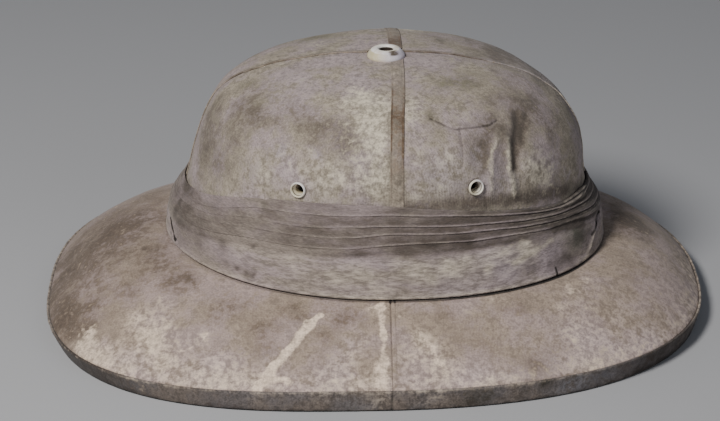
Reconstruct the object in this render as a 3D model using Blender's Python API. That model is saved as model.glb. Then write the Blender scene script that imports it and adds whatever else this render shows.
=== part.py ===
"""Pith sun helmet: a moulded pith crown and brim covered in cloth, bound at the rim,
with a wound cloth band, seam strips, a top ventilator collar and four air eyelets.

+X is the wearer's front, +Y the wearer's left, +Z up.  The helmet rests on its rim at z = 0,
with the origin under the middle of its length.  The sections below are drawn about the crown's
own middle, and the empty "helmet" carries them all to the origin.
Sizes are in millimetres in the constants below and in metres in the mesh.
"""
import bmesh
import bpy
import numpy as np
from mathutils import Matrix, Vector

MM = 0.001

# ---- driving dimensions, in millimetres -------------------------------------------------------

AROUND = 64                 # divisions round the helmet
FIT_GAP = 0.3               # clearance between neighbouring pieces

# Rim: the egg-shaped oval that the helmet stands on, widest a little behind the crown's middle.
RIM_FRONT, RIM_REAR, RIM_SIDE = 191.9, 157.9, 142.2
RIM_WIDEST_X = -21.8
RIM_ROUND_FRONT, RIM_ROUND_REAR = 2.38, 2.68      # 2 is an ellipse, more is squarer
EDGE_HIGH_FRONT, EDGE_HIGH_REAR, EDGE_HIGH_SIDE = 10.2, 7.6, 11.5
EDGE_LEAN_FRONT, EDGE_LEAN_REAR, EDGE_LEAN_SIDE = 2.4, 3.6, 1.0

# Foot of the pagri, where it stands on the brim.
FOOT_FRONT, FOOT_REAR, FOOT_SIDE = 118.5, 117.8, 93.2
FOOT_ROUND_FRONT, FOOT_ROUND_REAR = 2.25, 2.10
FOOT_Z_FRONT, FOOT_Z_REAR, FOOT_Z_SIDE = 40.7, 44.2, 38.2

# Brim: how it droops from the foot of the crown to the rim.
BRIM_THICK = 10.0
BRIM_DROOP_END, BRIM_DROOP_SIDE = 2.10, 1.12      # 1 is straight, more droops late
BRIM_UNDER_DROOP_END, BRIM_UNDER_DROOP_SIDE = 1.85, 1.08

# Crown: level sections of the outside, from under the brim to the flat top.
CROWN_WALL = 7.0
CROWN_ROUND = 1.97
CROWN_COLUMNS = ("height", "front", "rear", "side")
CROWN_SECTIONS = (
    (25.0, 114.0, 113.0, 90.0),
    (42.0, 113.5, 112.4, 89.6),
    (60.0, 110.8, 109.6, 89.0),
    (75.0, 107.6, 105.6, 88.3),
    (90.0, 106.1, 101.7, 87.7),
    (100.0, 103.7, 98.6, 87.0),
    (110.0, 98.6, 94.8, 84.6),
    (118.0, 92.6, 90.6, 80.2),
    (124.0, 86.0, 85.2, 74.7),
    (129.0, 79.4, 77.0, 67.8),
    (133.0, 70.4, 66.4, 59.8),
    (136.0, 57.6, 56.4, 51.2),
    (138.0, 46.0, 44.2, 42.6),
    (139.5, 35.0, 35.4, 33.6),
    (140.5, 23.0, 27.0, 23.0),
)
CROWN_TOP = 141.0

# Edge band: cloth strip round the rim, turned under it.
BAND_THICK = 1.2
BAND_TURN_UNDER = 7.0

# Pagri: the height of its top edge round the helmet, the same on both sides.
PAGRI_TOP_COLUMNS = ("degrees_from_front", "height")
PAGRI_TOP = (
    (0.0, 71.5),
    (18.0, 74.2),
    (38.0, 73.9),
    (53.0, 78.4),
    (64.0, 82.0),
    (93.0, 88.5),
    (108.0, 88.8),
    (129.0, 85.8),
    (144.0, 80.2),
    (156.0, 75.8),
    (180.0, 73.0),
)
# How far its outside stands off the crown, more than at its foot, up its height (0 to 1).
PAGRI_SWELL_COLUMNS = ("share", "swell")
PAGRI_SWELL = (
    (0.0, 0.0),
    (0.3, 0.9),
    (0.55, 0.9),
    (0.75, -0.1),
    (0.9, -1.3),
    (1.0, -2.4),
)
PAGRI_LEAST = 1.7                                 # least stand-off, at the top edge
# Each fold's lower edge, as a share of the band's height measured down from its top.
FOLD_STEP = 1.1
FOLD_COLUMNS = ("front", "side", "rear")
FOLDS = (
    (0.08, 0.08, 0.18),
    (0.17, 0.21, 0.27),
    (0.25, 0.29, 0.37),
    (0.33, 0.38, 0.49),
)

# Seams on the crown.
SIDE_SEAM_WIDE, SIDE_SEAM_THICK = 7.0, 0.9
SIDE_SEAM_X_TOP, SIDE_SEAM_X_FOOT = 6.1, 3.8
RIDGE_SEAM_WIDE, RIDGE_SEAM_THICK = 3.2, 0.8

# Ventilator collar on the top, and the eyelets in the sides.
VENT_X, VENT_Y = 0.1, -6.0
VENT_FLANGE_R, VENT_BORE_R, VENT_NECK_R = 10.2, 4.2, 6.3
VENT_HIGH, VENT_NECK_LONG = 3.6, 9.5
EYELET_FLANGE_R, EYELET_BORE_R, EYELET_BARREL_R = 4.6, 2.5, 3.1
EYELET_HIGH, EYELET_LONG = 1.5, 8.6
EYELET_COLUMNS = ("place", "x", "height")
EYELETS = (
    ("front", 44.2, 95.4),
    ("rear", -46.2, 94.2),
)


# ---- the helmet's ovals ------------------------------------------------------------------------

def directions():
    """Angles round the helmet, from the front, counter-clockwise seen from above."""
    return np.arange(AROUND) * 2 * np.pi / AROUND


def by_direction(angle, front, rear, side):
    """A value that goes smoothly from the front's to the side's to the rear's."""
    end = np.where(np.cos(angle) > 0, front, rear)
    return end * np.cos(angle) ** 2 + side * np.sin(angle) ** 2


def oval(angle, front, rear, side, roundness, height):
    """Points of an oval with its own reach to the front, the rear and both sides."""
    c = np.cos(angle)
    s = np.sin(angle)
    scale = (np.abs(c) ** roundness + np.abs(s) ** roundness) ** (-1.0 / roundness)
    x = np.where(c > 0, front, rear) * c * scale
    y = side * s * scale
    return np.stack([x, y, np.broadcast_to(height, x.shape)], axis=-1)


def foot_height(angle):
    return by_direction(angle, FOOT_Z_FRONT, FOOT_Z_REAR, FOOT_Z_SIDE)


def crown_reach(height):
    """The crown's reach to the front, the rear and the side at a height."""
    table = np.array(CROWN_SECTIONS)
    return [np.interp(height, table[:, 0], table[:, k]) for k in (1, 2, 3)]


def crown_ring(angle, height, stand_off=0.0):
    """A ring on the crown's outside, or the given distance outside it."""
    front, rear, side = crown_reach(height)
    return oval(angle, front + stand_off, rear + stand_off, side + stand_off, CROWN_ROUND, height)


def foot_ring(angle, height):
    roundness = np.where(np.cos(angle) > 0, FOOT_ROUND_FRONT, FOOT_ROUND_REAR)
    return oval(angle, FOOT_FRONT, FOOT_REAR, FOOT_SIDE, roundness, height)


def pagri_ring(angle, height, stand_off):
    """A ring on the pagri's outside; at the foot it is exactly the foot's oval."""
    ring = crown_ring(angle, height, stand_off)
    front, rear, side = crown_reach(foot_height(angle))
    foot_off = by_direction(angle, FOOT_FRONT - front, FOOT_REAR - rear, FOOT_SIDE - side)
    base = crown_ring(angle, foot_height(angle), foot_off)
    corner = foot_ring(angle, foot_height(angle)) - base
    high = pagri_top_height(angle) - foot_height(angle)
    share = np.clip((height - foot_height(angle)) / high, 0, 1)
    fade = (1 - share) ** 1.5
    ring[:, :2] += corner[:, :2] * fade[:, None]
    return ring


def rim_ring(angle, inset, height, top_edge=False):
    """The rim's lower edge, or its leaning top edge, moved inward by the inset."""
    roundness = np.where(np.cos(angle) > 0, RIM_ROUND_FRONT, RIM_ROUND_REAR)
    out = -inset
    if top_edge:
        out = out + by_direction(angle, EDGE_LEAN_FRONT, EDGE_LEAN_REAR, EDGE_LEAN_SIDE)
    ring = oval(angle, RIM_FRONT + out, RIM_REAR + out, RIM_SIDE + out, roundness, height)
    return ring + np.array([RIM_WIDEST_X, 0.0, 0.0])


def edge_height(angle):
    return by_direction(angle, EDGE_HIGH_FRONT, EDGE_HIGH_REAR, EDGE_HIGH_SIDE)


def smooth_between(table, where):
    """A smooth curve through a table's rows, level at both ends."""
    rows = np.array(table)
    x, y = rows[:, 0], rows[:, 1]
    slope = np.gradient(y, x)
    slope[0] = slope[-1] = 0.0
    k = np.clip(np.searchsorted(x, where, side="right") - 1, 0, len(x) - 2)
    width = x[k + 1] - x[k]
    t = (where - x[k]) / width
    return (y[k] * (1 + 2 * t) * (1 - t) ** 2 + width * slope[k] * t * (1 - t) ** 2
            + y[k + 1] * t * t * (3 - 2 * t) + width * slope[k + 1] * t * t * (t - 1))


def pagri_top_height(angle):
    from_front = np.degrees(np.arccos(np.clip(np.cos(angle), -1, 1)))
    return smooth_between(PAGRI_TOP, from_front)


# ---- mesh and material tools -------------------------------------------------------------------

def clear_scene():
    for old in list(bpy.data.objects):
        bpy.data.objects.remove(old, do_unlink=True)


def add_carrier():
    """The empty that every piece hangs on, which centres the helmet's length on the origin."""
    front_tip = RIM_WIDEST_X + RIM_FRONT + EDGE_LEAN_FRONT
    rear_tip = RIM_WIDEST_X - RIM_REAR - EDGE_LEAN_REAR
    carrier = bpy.data.objects.new("helmet", None)
    carrier.location.x = -0.5 * (front_tip + rear_tip) * MM
    bpy.context.collection.objects.link(carrier)
    return carrier


def material(name, colour, roughness, metallic=0.0):
    made = bpy.data.materials.new(name)
    made.use_nodes = True
    shader = made.node_tree.nodes["Principled BSDF"]
    shader.inputs["Base Color"].default_value = (*colour, 1.0)
    shader.inputs["Roughness"].default_value = roughness
    shader.inputs["Metallic"].default_value = metallic
    return made


def add_object(name, mesh_data, finish, sharp_degrees=40, place=Matrix()):
    """Turn a bmesh in millimetres into a smooth-shaded object in metres, on the carrier."""
    bmesh.ops.recalc_face_normals(mesh_data, faces=mesh_data.faces)
    bmesh.ops.scale(mesh_data, vec=(MM, MM, MM), verts=mesh_data.verts)
    mesh = bpy.data.meshes.new(name)
    mesh_data.to_mesh(mesh)
    mesh_data.free()
    mesh.shade_smooth()
    mesh.set_sharp_from_angle(angle=np.radians(sharp_degrees))
    mesh.materials.append(finish)
    made = bpy.data.objects.new(name, mesh)
    bpy.context.collection.objects.link(made)
    made.parent = bpy.data.objects["helmet"]
    made.matrix_basis = place
    return made


def closed_section(name, rings, finish, place=Matrix()):
    """A ring-shaped solid: each ring of points joins the next, and the last joins the first."""
    data = bmesh.new()
    rows = [[data.verts.new(Vector(point)) for point in ring] for ring in rings]
    count = len(rows[0])
    for k, row in enumerate(rows):
        after = rows[(k + 1) % len(rows)]
        for i in range(count):
            j = (i + 1) % count
            data.faces.new((row[i], row[j], after[j], after[i]))
    return add_object(name, data, finish, place=place)


def strip(name, sections, finish):
    """A bar whose four-cornered sections join one after another, capped at both ends."""
    data = bmesh.new()
    rows = [[data.verts.new(Vector(point)) for point in section] for section in sections]
    count = len(rows[0])
    for row, after in zip(rows, rows[1:]):
        for i in range(count):
            j = (i + 1) % count
            data.faces.new((row[i], row[j], after[j], after[i]))
    data.faces.new(rows[0])
    data.faces.new(list(reversed(rows[-1])))
    return add_object(name, data, finish, 30)


def turned(name, profile, steps, finish, place):
    """A tube turned about its own Z axis from a closed profile of (radius, height) points."""
    angles = np.arange(steps) * 2 * np.pi / steps
    rings = [[(r * np.cos(a), r * np.sin(a), z) for a in angles] for r, z in profile]
    return closed_section(name, rings, finish, place)


# ---- crown -------------------------------------------------------------------------------------

def crown_outer_rings(angle):
    """Rings of the crown's outside from its foot to the ventilator's hole."""
    foot = foot_height(angle)
    rings = [crown_ring(angle, foot - BRIM_THICK), crown_ring(angle, foot)]
    for share in (0.33, 0.66):
        rings.append(crown_ring(angle, foot + (75.0 - foot) * share))
    for row in CROWN_SECTIONS:
        height, front, rear, side = row
        if height >= 75.0:
            rings.append(oval(angle, front, rear, side, CROWN_ROUND, height))
    return rings


def vent_hole_ring(angle, height):
    radius = VENT_NECK_R + FIT_GAP
    return np.stack([VENT_X + radius * np.cos(angle), VENT_Y + radius * np.sin(angle),
                     np.full(angle.shape, height)], axis=-1)


def inward(rings, depth):
    """The rings moved a depth into the crown, square to its surface."""
    moved = []
    for k, ring in enumerate(rings):
        along = np.roll(ring, -1, axis=0) - np.roll(ring, 1, axis=0)
        up = rings[min(k + 1, len(rings) - 1)] - rings[max(k - 1, 0)]
        normal = np.cross(along, up)
        normal /= np.linalg.norm(normal, axis=1)[:, None]
        moved.append(ring - normal * depth)
    return moved


def build_crown(cloth):
    angle = directions()
    outer = crown_outer_rings(angle)
    inner = inward(outer, CROWN_WALL)
    inner[0][:, 2] = outer[0][:, 2]
    inner_kept = [inner[k] for k in range(len(inner)) if k not in (1, 3, 5, 8)]
    rings = outer + [vent_hole_ring(angle, CROWN_TOP)]
    rings += [vent_hole_ring(angle, CROWN_TOP - CROWN_WALL)] + inner_kept[::-1]
    crown = closed_section("crown", rings, cloth)
    for label, _, place in eyelet_places():
        drill(crown, "drill_" + label, place)
    return crown


def drill(target, name, place):
    """Cut an eyelet's hole square through the crown."""
    data = bmesh.new()
    bmesh.ops.create_cone(data, cap_ends=True, segments=16, depth=30.0,
                          radius1=EYELET_BARREL_R + FIT_GAP, radius2=EYELET_BARREL_R + FIT_GAP)
    cutter = add_object(name, data, target.data.materials[0], place=place)
    cutter.hide_render = True
    cutter.display_type = "WIRE"
    cut = target.modifiers.new(name, "BOOLEAN")
    cut.operation = "DIFFERENCE"
    cut.solver = "EXACT"
    cut.object = cutter


# ---- brim --------------------------------------------------------------------------------------

def between(inner, outer, share, droop):
    """A ring part of the way out from one ring to another, lowered by a power of the share."""
    ring = inner + (outer - inner) * share
    ring[:, 2] = inner[:, 2] + (outer[:, 2] - inner[:, 2]) * share ** droop
    return ring


def brim_top_rings(angle):
    """The brim's upper surface, from the foot of the pagri out to the rim."""
    droop = by_direction(angle, BRIM_DROOP_END, BRIM_DROOP_END, BRIM_DROOP_SIDE)
    foot = foot_ring(angle, foot_height(angle))
    edge = rim_ring(angle, BAND_THICK + FIT_GAP, edge_height(angle), top_edge=True)
    return [between(foot, edge, s, droop) for s in (0.0, 0.22, 0.42, 0.6, 0.76, 0.88, 0.96, 1.0)]


def brim_under_rings(angle):
    """The brim's underside, from the rim in to the crown."""
    droop = by_direction(angle, BRIM_UNDER_DROOP_END, BRIM_UNDER_DROOP_END, BRIM_UNDER_DROOP_SIDE)
    lift = BAND_THICK + FIT_GAP
    foot = foot_ring(angle, foot_height(angle) - BRIM_THICK)
    flat = rim_ring(angle, lift + BAND_TURN_UNDER, lift)
    under = [between(foot, flat, s, droop) for s in (1.0, 0.8, 0.55, 0.28, 0.0)]
    return [rim_ring(angle, lift, lift)] + under


def build_brim(cloth):
    angle = directions()
    foot = foot_height(angle)
    rings = [crown_ring(angle, foot, FIT_GAP)]
    rings += brim_top_rings(angle)
    rings += brim_under_rings(angle)
    rings += [crown_ring(angle, foot - BRIM_THICK, FIT_GAP)]
    return closed_section("brim", rings, cloth)


# ---- edge band ---------------------------------------------------------------------------------

def build_edge_band(cloth):
    """A strip that covers the rim's edge and turns under it; its underside is flat."""
    angle = directions()
    top = edge_height(angle)
    turn = BAND_THICK + BAND_TURN_UNDER
    rings = [
        rim_ring(angle, BAND_THICK, top - 0.1, top_edge=True),
        rim_ring(angle, 0.35, top, top_edge=True),
        rim_ring(angle, 0.0, top - 0.7, top_edge=True),
        rim_ring(angle, 0.0, 0.8),
        rim_ring(angle, 0.7, 0.0),
        rim_ring(angle, turn, 0.0),
        rim_ring(angle, turn, BAND_THICK),
        rim_ring(angle, BAND_THICK, BAND_THICK),
    ]
    return closed_section("edge_band", rings, cloth)


# ---- pagri -------------------------------------------------------------------------------------

def pagri_profile(angle):
    """(share of the height from the foot, stand-off) round the outside, from foot to top."""
    front, rear, side = crown_reach(foot_height(angle))
    foot_off = by_direction(angle, FOOT_FRONT, FOOT_REAR, FOOT_SIDE)
    foot_off = foot_off - by_direction(angle, front, rear, side)

    def stand_off(share, step):
        off = foot_off + smooth_between(PAGRI_SWELL, share) + step * FOLD_STEP
        return np.maximum(off, PAGRI_LEAST + 0.5 * step * FOLD_STEP)

    rows = [(0.0, foot_off), (0.3, stand_off(0.3, 0.0))]
    for fold in reversed(FOLDS):
        edge = 1.0 - by_direction(angle, fold[0], fold[2], fold[1])
        rows.append((edge - 0.012, stand_off(edge, -0.5)))
        rows.append((edge, stand_off(edge, 0.5)))
    rows.append((0.975, stand_off(0.975, 0.0)))
    rows.append((1.0, np.full(angle.shape, PAGRI_LEAST - 0.6)))
    return rows


def build_pagri(cloth):
    angle = directions()
    foot = foot_height(angle) + FIT_GAP
    high = pagri_top_height(angle) - foot
    rings = [pagri_ring(angle, foot + high * share, off) for share, off in pagri_profile(angle)]
    rings += [crown_ring(angle, foot + high * share, 2 * FIT_GAP) for share in (0.99, 0.7, 0.35, 0.0)]
    return closed_section("pagri", rings, cloth)


# ---- seams on the crown ------------------------------------------------------------------------

def meridian(reach_index, start, collar_reach, hole_reach):
    """(reach, height) up the crown in one direction, from a start height to the collar."""
    line = [(float(crown_reach(start)[reach_index]), start)]
    line += [(row[reach_index + 1], row[0]) for row in CROWN_SECTIONS if row[0] > start + 3.0]
    share = (collar_reach - hole_reach) / (line[-1][0] - hole_reach)
    line.append((collar_reach, CROWN_TOP + (line[-1][1] - CROWN_TOP) * share))
    return np.array(line)


def seam_strip(name, line, toward, middle, wide, thick, cross_index, finish):
    """A flat strip up a meridian of the crown.

    toward is the unit direction that the meridian faces, middle(height) is the strip's middle
    across it, and cross_index picks the crown's reach across it, for its roundness.
    """
    step = np.gradient(line, axis=0)
    outward = np.stack([step[:, 1], -step[:, 0]], axis=1)
    outward /= np.linalg.norm(outward, axis=1)[:, None]
    across = Vector((-toward.y, toward.x, 0.0))
    sections = []
    for (reach, height), (out, up) in zip(line, outward):
        cross = max(crown_reach(height)[cross_index], 23.0)
        section = []
        for offset, depth in ((-0.5, 0.0), (0.5, 0.0), (0.5, 1.0), (-0.5, 1.0)):
            aside = middle(height) + offset * wide
            fall = (1 - abs(aside / cross) ** CROWN_ROUND) ** (1 / CROWN_ROUND)
            lift = FIT_GAP + depth * thick
            point = toward * (reach * fall + out * lift) + across * aside
            section.append(point + Vector((0.0, 0.0, height + up * lift)))
        sections.append(section)
    return strip(name, sections, finish)


def build_seams(side_cloth, ridge_cloth):
    """The strips over the side seams, and the lapped seam along the crown's centre line."""
    hole = VENT_NECK_R + FIT_GAP
    collar = VENT_FLANGE_R + 0.5
    for label, side in (("right", -1.0), ("left", 1.0)):
        def side_middle(height):
            share = (height - 88.0) / (CROWN_TOP - 88.0)
            x = SIDE_SEAM_X_FOOT + (SIDE_SEAM_X_TOP - SIDE_SEAM_X_FOOT) * share
            return -side * x

        start = float(pagri_top_height(np.radians(90.0))) + 0.6
        line = meridian(2, start, collar + side * VENT_Y, hole + side * VENT_Y)
        seam_strip("side_seam_" + label, line, Vector((0.0, side, 0.0)), side_middle,
                   SIDE_SEAM_WIDE, SIDE_SEAM_THICK, 0, side_cloth)
    for label, end, index in (("front", 1.0, 0), ("rear", -1.0, 1)):
        start = float(pagri_top_height(np.radians(90.0 - 90.0 * end))) + 0.6
        line = meridian(index, start, collar + end * VENT_X, hole + end * VENT_X)
        seam_strip("ridge_seam_" + label, line, Vector((end, 0.0, 0.0)), lambda height: 0.0,
                   RIDGE_SEAM_WIDE, RIDGE_SEAM_THICK, 2, ridge_cloth)


# ---- metal fittings ----------------------------------------------------------------------------

def build_vent_collar(paint):
    """A domed collar that stands on the crown, with a neck down through it."""
    base = FIT_GAP
    top = base + VENT_HIGH
    profile = (
        (VENT_BORE_R, top - 0.9),
        (VENT_BORE_R + 0.5, top - 0.25),
        (VENT_BORE_R + 1.4, top),
        (VENT_FLANGE_R - 3.0, top - 0.35),
        (VENT_FLANGE_R - 1.2, top - 1.3),
        (VENT_FLANGE_R - 0.25, base + 1.1),
        (VENT_FLANGE_R, base + 0.45),
        (VENT_FLANGE_R - 0.4, base),
        (VENT_NECK_R, base),
        (VENT_NECK_R, base - VENT_NECK_LONG),
        (VENT_BORE_R, base - VENT_NECK_LONG),
    )
    place = Matrix.Translation(Vector((VENT_X, VENT_Y, CROWN_TOP)) * MM)
    return turned("vent_collar", profile, 28, paint, place)


def eyelet_places():
    """Each eyelet's name, its side and its placing: at the crown's surface, Z axis outward."""
    places = []
    for side_name, side in (("right", -1.0), ("left", 1.0)):
        for label, x, height in EYELETS:
            front, rear, flank = crown_reach(height)
            end = front if x > 0 else rear
            fall = (1 - abs(x / end) ** CROWN_ROUND) ** (1 / CROWN_ROUND)
            point = Vector((x, side * flank * fall, height))
            steps = crown_reach(height + 2.0)
            rise = Vector((0.0, side * (steps[2] - flank) * fall, 2.0))
            ahead = Vector((1.0, side * flank * ((1 - abs((x + 1.0) / end) ** CROWN_ROUND)
                                                 ** (1 / CROWN_ROUND) - fall), 0.0))
            outward = ahead.cross(rise) * (1.0 if side < 0 else -1.0)
            turn = outward.to_track_quat("Z", "Y").to_matrix().to_4x4()
            place = Matrix.Translation(point * MM) @ turn
            places.append((f"{side_name}_{label}", side, place))
    return places


def build_eyelets(paint):
    """Rolled eyelets: a rounded flange outside and a barrel through the crown."""
    base = FIT_GAP
    top = base + EYELET_HIGH
    profile = (
        (EYELET_BORE_R, top - 0.8),
        (EYELET_BORE_R + 0.3, top - 0.2),
        (EYELET_BORE_R + 0.95, top),
        (EYELET_FLANGE_R - 0.5, top - 0.5),
        (EYELET_FLANGE_R, base + 0.35),
        (EYELET_FLANGE_R - 0.2, base),
        (EYELET_BARREL_R, base),
        (EYELET_BARREL_R, base - EYELET_LONG),
        (EYELET_BORE_R, base - EYELET_LONG),
    )
    for label, _, place in eyelet_places():
        turned("eyelet_" + label, profile, 16, paint, place)


# ---- the helmet --------------------------------------------------------------------------------

clear_scene()
add_carrier()
crown_cloth = material("crown_cloth", (0.42, 0.37, 0.32), 0.9)
brim_cloth = material("brim_cloth", (0.46, 0.40, 0.34), 0.9)
band_cloth = material("edge_band_cloth", (0.22, 0.20, 0.17), 0.92)
pagri_cloth = material("pagri_cloth", (0.34, 0.31, 0.29), 0.9)
seam_cloth = material("seam_cloth", (0.33, 0.28, 0.22), 0.9)
white_paint = material("painted_metal", (0.62, 0.60, 0.56), 0.45)

build_crown(crown_cloth)
build_brim(brim_cloth)
build_edge_band(band_cloth)
build_pagri(pagri_cloth)
build_seams(seam_cloth, crown_cloth)
build_vent_collar(white_paint)
build_eyelets(white_paint)
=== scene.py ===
"""A worn pith helmet: a moulded pith shell under sewn cloth, a wound cloth band, painted fittings.

+X is the wearer's front, +Y the wearer's left, +Z up, and the helmet stands on the floor at
z = 0. Lengths are in millimetres about the crown's own middle until a mesh is made in metres.
"""

import bmesh
import bpy
import numpy as np
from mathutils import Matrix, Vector, noise


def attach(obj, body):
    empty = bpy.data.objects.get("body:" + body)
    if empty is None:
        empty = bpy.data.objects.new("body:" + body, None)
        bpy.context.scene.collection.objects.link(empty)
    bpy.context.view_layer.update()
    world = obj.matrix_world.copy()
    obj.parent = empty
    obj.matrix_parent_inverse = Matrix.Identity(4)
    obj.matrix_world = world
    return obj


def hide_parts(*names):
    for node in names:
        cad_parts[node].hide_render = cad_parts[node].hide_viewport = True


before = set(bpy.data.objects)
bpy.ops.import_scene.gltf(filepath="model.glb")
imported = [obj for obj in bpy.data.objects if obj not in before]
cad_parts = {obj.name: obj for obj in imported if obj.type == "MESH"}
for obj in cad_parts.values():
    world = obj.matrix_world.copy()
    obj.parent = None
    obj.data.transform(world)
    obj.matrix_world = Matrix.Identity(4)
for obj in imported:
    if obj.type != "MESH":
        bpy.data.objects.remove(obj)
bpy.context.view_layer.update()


# ---- Studio ------------------------------------------------------------------------------------
# A pale matt floor, a wide soft light to the left of the camera and above it, a weak one to the
# right, and a camera with a long lens that looks 23 degrees down at the helmet's right side.

def soft_light(name, place, target, size, watts, colour):
    lamp = bpy.data.lights.new(name, "AREA")
    lamp.shape = "DISK"
    lamp.size = size
    lamp.energy = watts
    lamp.color = colour
    made = bpy.data.objects.new(name, lamp)
    made.location = place
    made.rotation_euler = (Vector(target) - Vector(place)).to_track_quat("-Z", "Y").to_euler()
    bpy.context.scene.collection.objects.link(made)


soft_light("key", (-0.70, -0.96, 1.22), (-0.01, 0.0, 0.06), 0.46, 27.5, (1.0, 0.975, 0.94))
soft_light("fill", (1.0, -1.35, 0.75), (0.0, 0.0, 0.06), 1.0, 3.6, (0.93, 0.96, 1.0))

sky = bpy.data.worlds.new("studio")
bpy.context.scene.world = sky
sky.use_nodes = True
sky.node_tree.nodes["Background"].inputs["Color"].default_value = (0.80, 0.86, 1.0, 1.0)
sky.node_tree.nodes["Background"].inputs["Strength"].default_value = 0.12

camera = bpy.data.objects.new("camera", bpy.data.cameras.new("camera"))
camera.location = (-0.040305, -1.385065, 0.634034)
aim = Vector((-0.007598, 0.0, 0.049715)) - camera.location
camera.rotation_euler = aim.to_track_quat("-Z", "Y").to_euler()
camera.data.sensor_width = 36.0
camera.data.lens = 138.45
bpy.context.scene.collection.objects.link(camera)
bpy.context.scene.camera = camera

floor_mesh = bpy.data.meshes.new("floor")
floor_mesh.from_pydata([(-6, -6, 0), (6, -6, 0), (6, 6, 0), (-6, 6, 0)], [], [(0, 1, 2, 3)])
floor = bpy.data.objects.new("floor", floor_mesh)
floor.location.z = -0.0003
bpy.context.scene.collection.objects.link(floor)
floor_paint = bpy.data.materials.new("floor_matt")
floor_paint.use_nodes = True
floor_shader = floor_paint.node_tree.nodes["Principled BSDF"]
floor_shader.inputs["Base Color"].default_value = (0.44, 0.445, 0.46, 1.0)
floor_shader.inputs["Roughness"].default_value = 0.9
floor_mesh.materials.append(floor_paint)


# ---- Crown -------------------------------------------------------------------------------------
# A moulded pith dome 7 mm thick with a cotton cover glued on in four panels, hollow and open
# below. The cloth is handled and stained, dented and creased on the front right panel.

MM = 0.001
CROWN_MIDDLE_X = 5.4        # the crown's own middle is this far ahead of the helmet's
CROWN_ROUND = 1.97
CROWN_TOP = 141.0
CROWN_WALL = 7.0
CROWN_COLUMNS = 532
BEHIND_BRIM = 10.0          # how far the shell goes on below the brim's upper face
COVER_STARTS = 60.0         # the height, behind the band, from which the cover is modelled
CROWN_SECTIONS = (          # height, reach to the front, to the rear, to each side
    (25.0, 114.0, 113.0, 90.0),
    (42.0, 113.5, 112.4, 89.6),
    (60.0, 110.8, 109.6, 89.0),
    (75.0, 107.6, 105.6, 88.3),
    (90.0, 106.1, 101.7, 87.7),
    (100.0, 103.7, 98.6, 87.0),
    (110.0, 98.6, 94.8, 84.6),
    (118.0, 92.6, 90.6, 80.2),
    (124.0, 86.0, 85.2, 74.7),
    (129.0, 79.4, 77.0, 67.8),
    (133.0, 70.4, 66.4, 59.8),
    (136.0, 57.6, 56.4, 51.2),
    (138.0, 46.0, 44.2, 42.6),
    (139.5, 35.0, 35.4, 33.6),
    (140.5, 23.0, 27.0, 23.0),
)
VENT_X, VENT_Y, VENT_NECK = 0.1, -6.0, 6.6
EYELETS = (("front", 44.2, 95.4), ("rear", -46.2, 94.2))    # place, x, height
EYELET_HOLE = 3.3
FAR_SIDE = -24.0            # marks nearer to the camera than this y are repeated behind
SNAP = 4.0                  # a mark's place moves to the surface if that is this near
MARK_SPACING = 2.0          # between the points of a mark's path, once it lies on the surface
THREAD = 0.8                # from one thread of the cotton to the next


def oval(angle, front, rear, side, roundness, height):
    """Points of an oval with its own reach to the front, the rear and both sides."""
    c, s = np.cos(angle), np.sin(angle)
    scale = (np.abs(c) ** roundness + np.abs(s) ** roundness) ** (-1.0 / roundness)
    x = np.where(c > 0, front, rear) * c * scale
    return np.stack(np.broadcast_arrays(x, side * s * scale, height), axis=-1)


def lengths(points, closed=False):
    """How far along a line of points each of them is; a closed line starts at its last point."""
    first = points[-1:] if closed else points[:1]
    return np.cumsum(np.linalg.norm(np.diff(points, axis=0, prepend=first), axis=-1), axis=0)


def bell(value, width):
    """1 where the value is 0, falling away smoothly on both sides."""
    return np.exp(-(value / width) ** 2)


def fade(value, start, full):
    """0 at the start, 1 at full, and straight between them."""
    return np.clip((value - start) / (full - start), 0, 1)


def cubic(at, values, slope, where):
    """The smooth curve that has these values and slopes, at the places asked for."""
    k = np.clip(np.searchsorted(at, where, side="right") - 1, 0, len(at) - 2)
    wide = at[k + 1] - at[k]
    t = (where - at[k]) / wide
    if values.ndim > 1:
        wide, t = wide[:, None], t[:, None]
    return (values[k] * (1 + 2 * t) * (1 - t) ** 2 + wide * slope[k] * t * (1 - t) ** 2
            + values[k + 1] * t * t * (3 - 2 * t) + wide * slope[k + 1] * t * t * (t - 1))


def smooth_rows(table, where):
    """Rows on the smooth curve through a table's rows; where counts rows from 0."""
    rows = np.array(table)
    at = lengths(rows[:, :2])
    return cubic(at, rows, np.gradient(rows, at, axis=0),
                 np.interp(where, np.arange(len(rows)), at))


def crown_reach(height):
    """How far the crown reaches at a height to the front, to the rear and to each side."""
    table = np.array(CROWN_SECTIONS)
    return [np.interp(height, table[:, 0], table[:, k]) for k in (1, 2, 3)]


def crown_ring(angle, height, stand_off=0.0):
    front, rear, side = crown_reach(height)
    return oval(angle, front + stand_off, rear + stand_off, side + stand_off, CROWN_ROUND, height)


def waves(points, size, seed=0.0):
    """Smooth noise from about -1 to 1, with features of a size in millimetres."""
    flat = (points.reshape(-1, 3) / size + seed).tolist()
    return np.array([noise.noise(p) for p in flat]).reshape(points.shape[:-1])


def drifted(points, drift=2.5):
    """The points moved about a little, so that what is painted by distance is uneven."""
    return points + drift * np.stack([waves(points, 11.0, s) + 0.6 * waves(points, 4.0, s)
                                      for s in (3.1, 17.7, 42.9)], -1)


def nearest(points, place):
    """The surface's point nearest to a place, or the place itself where none is near."""
    flat = points.reshape(-1, 3)
    away = ((flat - place) ** 2).sum(-1)
    return flat[away.argmin()] if away.min() < SNAP ** 2 else np.array(place, float)


def blots(points, rows, spread=1.0):
    """Soft patches on a surface; rows of x, y, z, reach and strength."""
    total = np.zeros(points.shape[:-1])
    for x, y, z, reach, strength in rows:
        middle = nearest(points, (x, y, z))
        total += strength * np.exp(-((points - middle) ** 2).sum(-1) / (reach * spread) ** 2)
    return total


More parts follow.
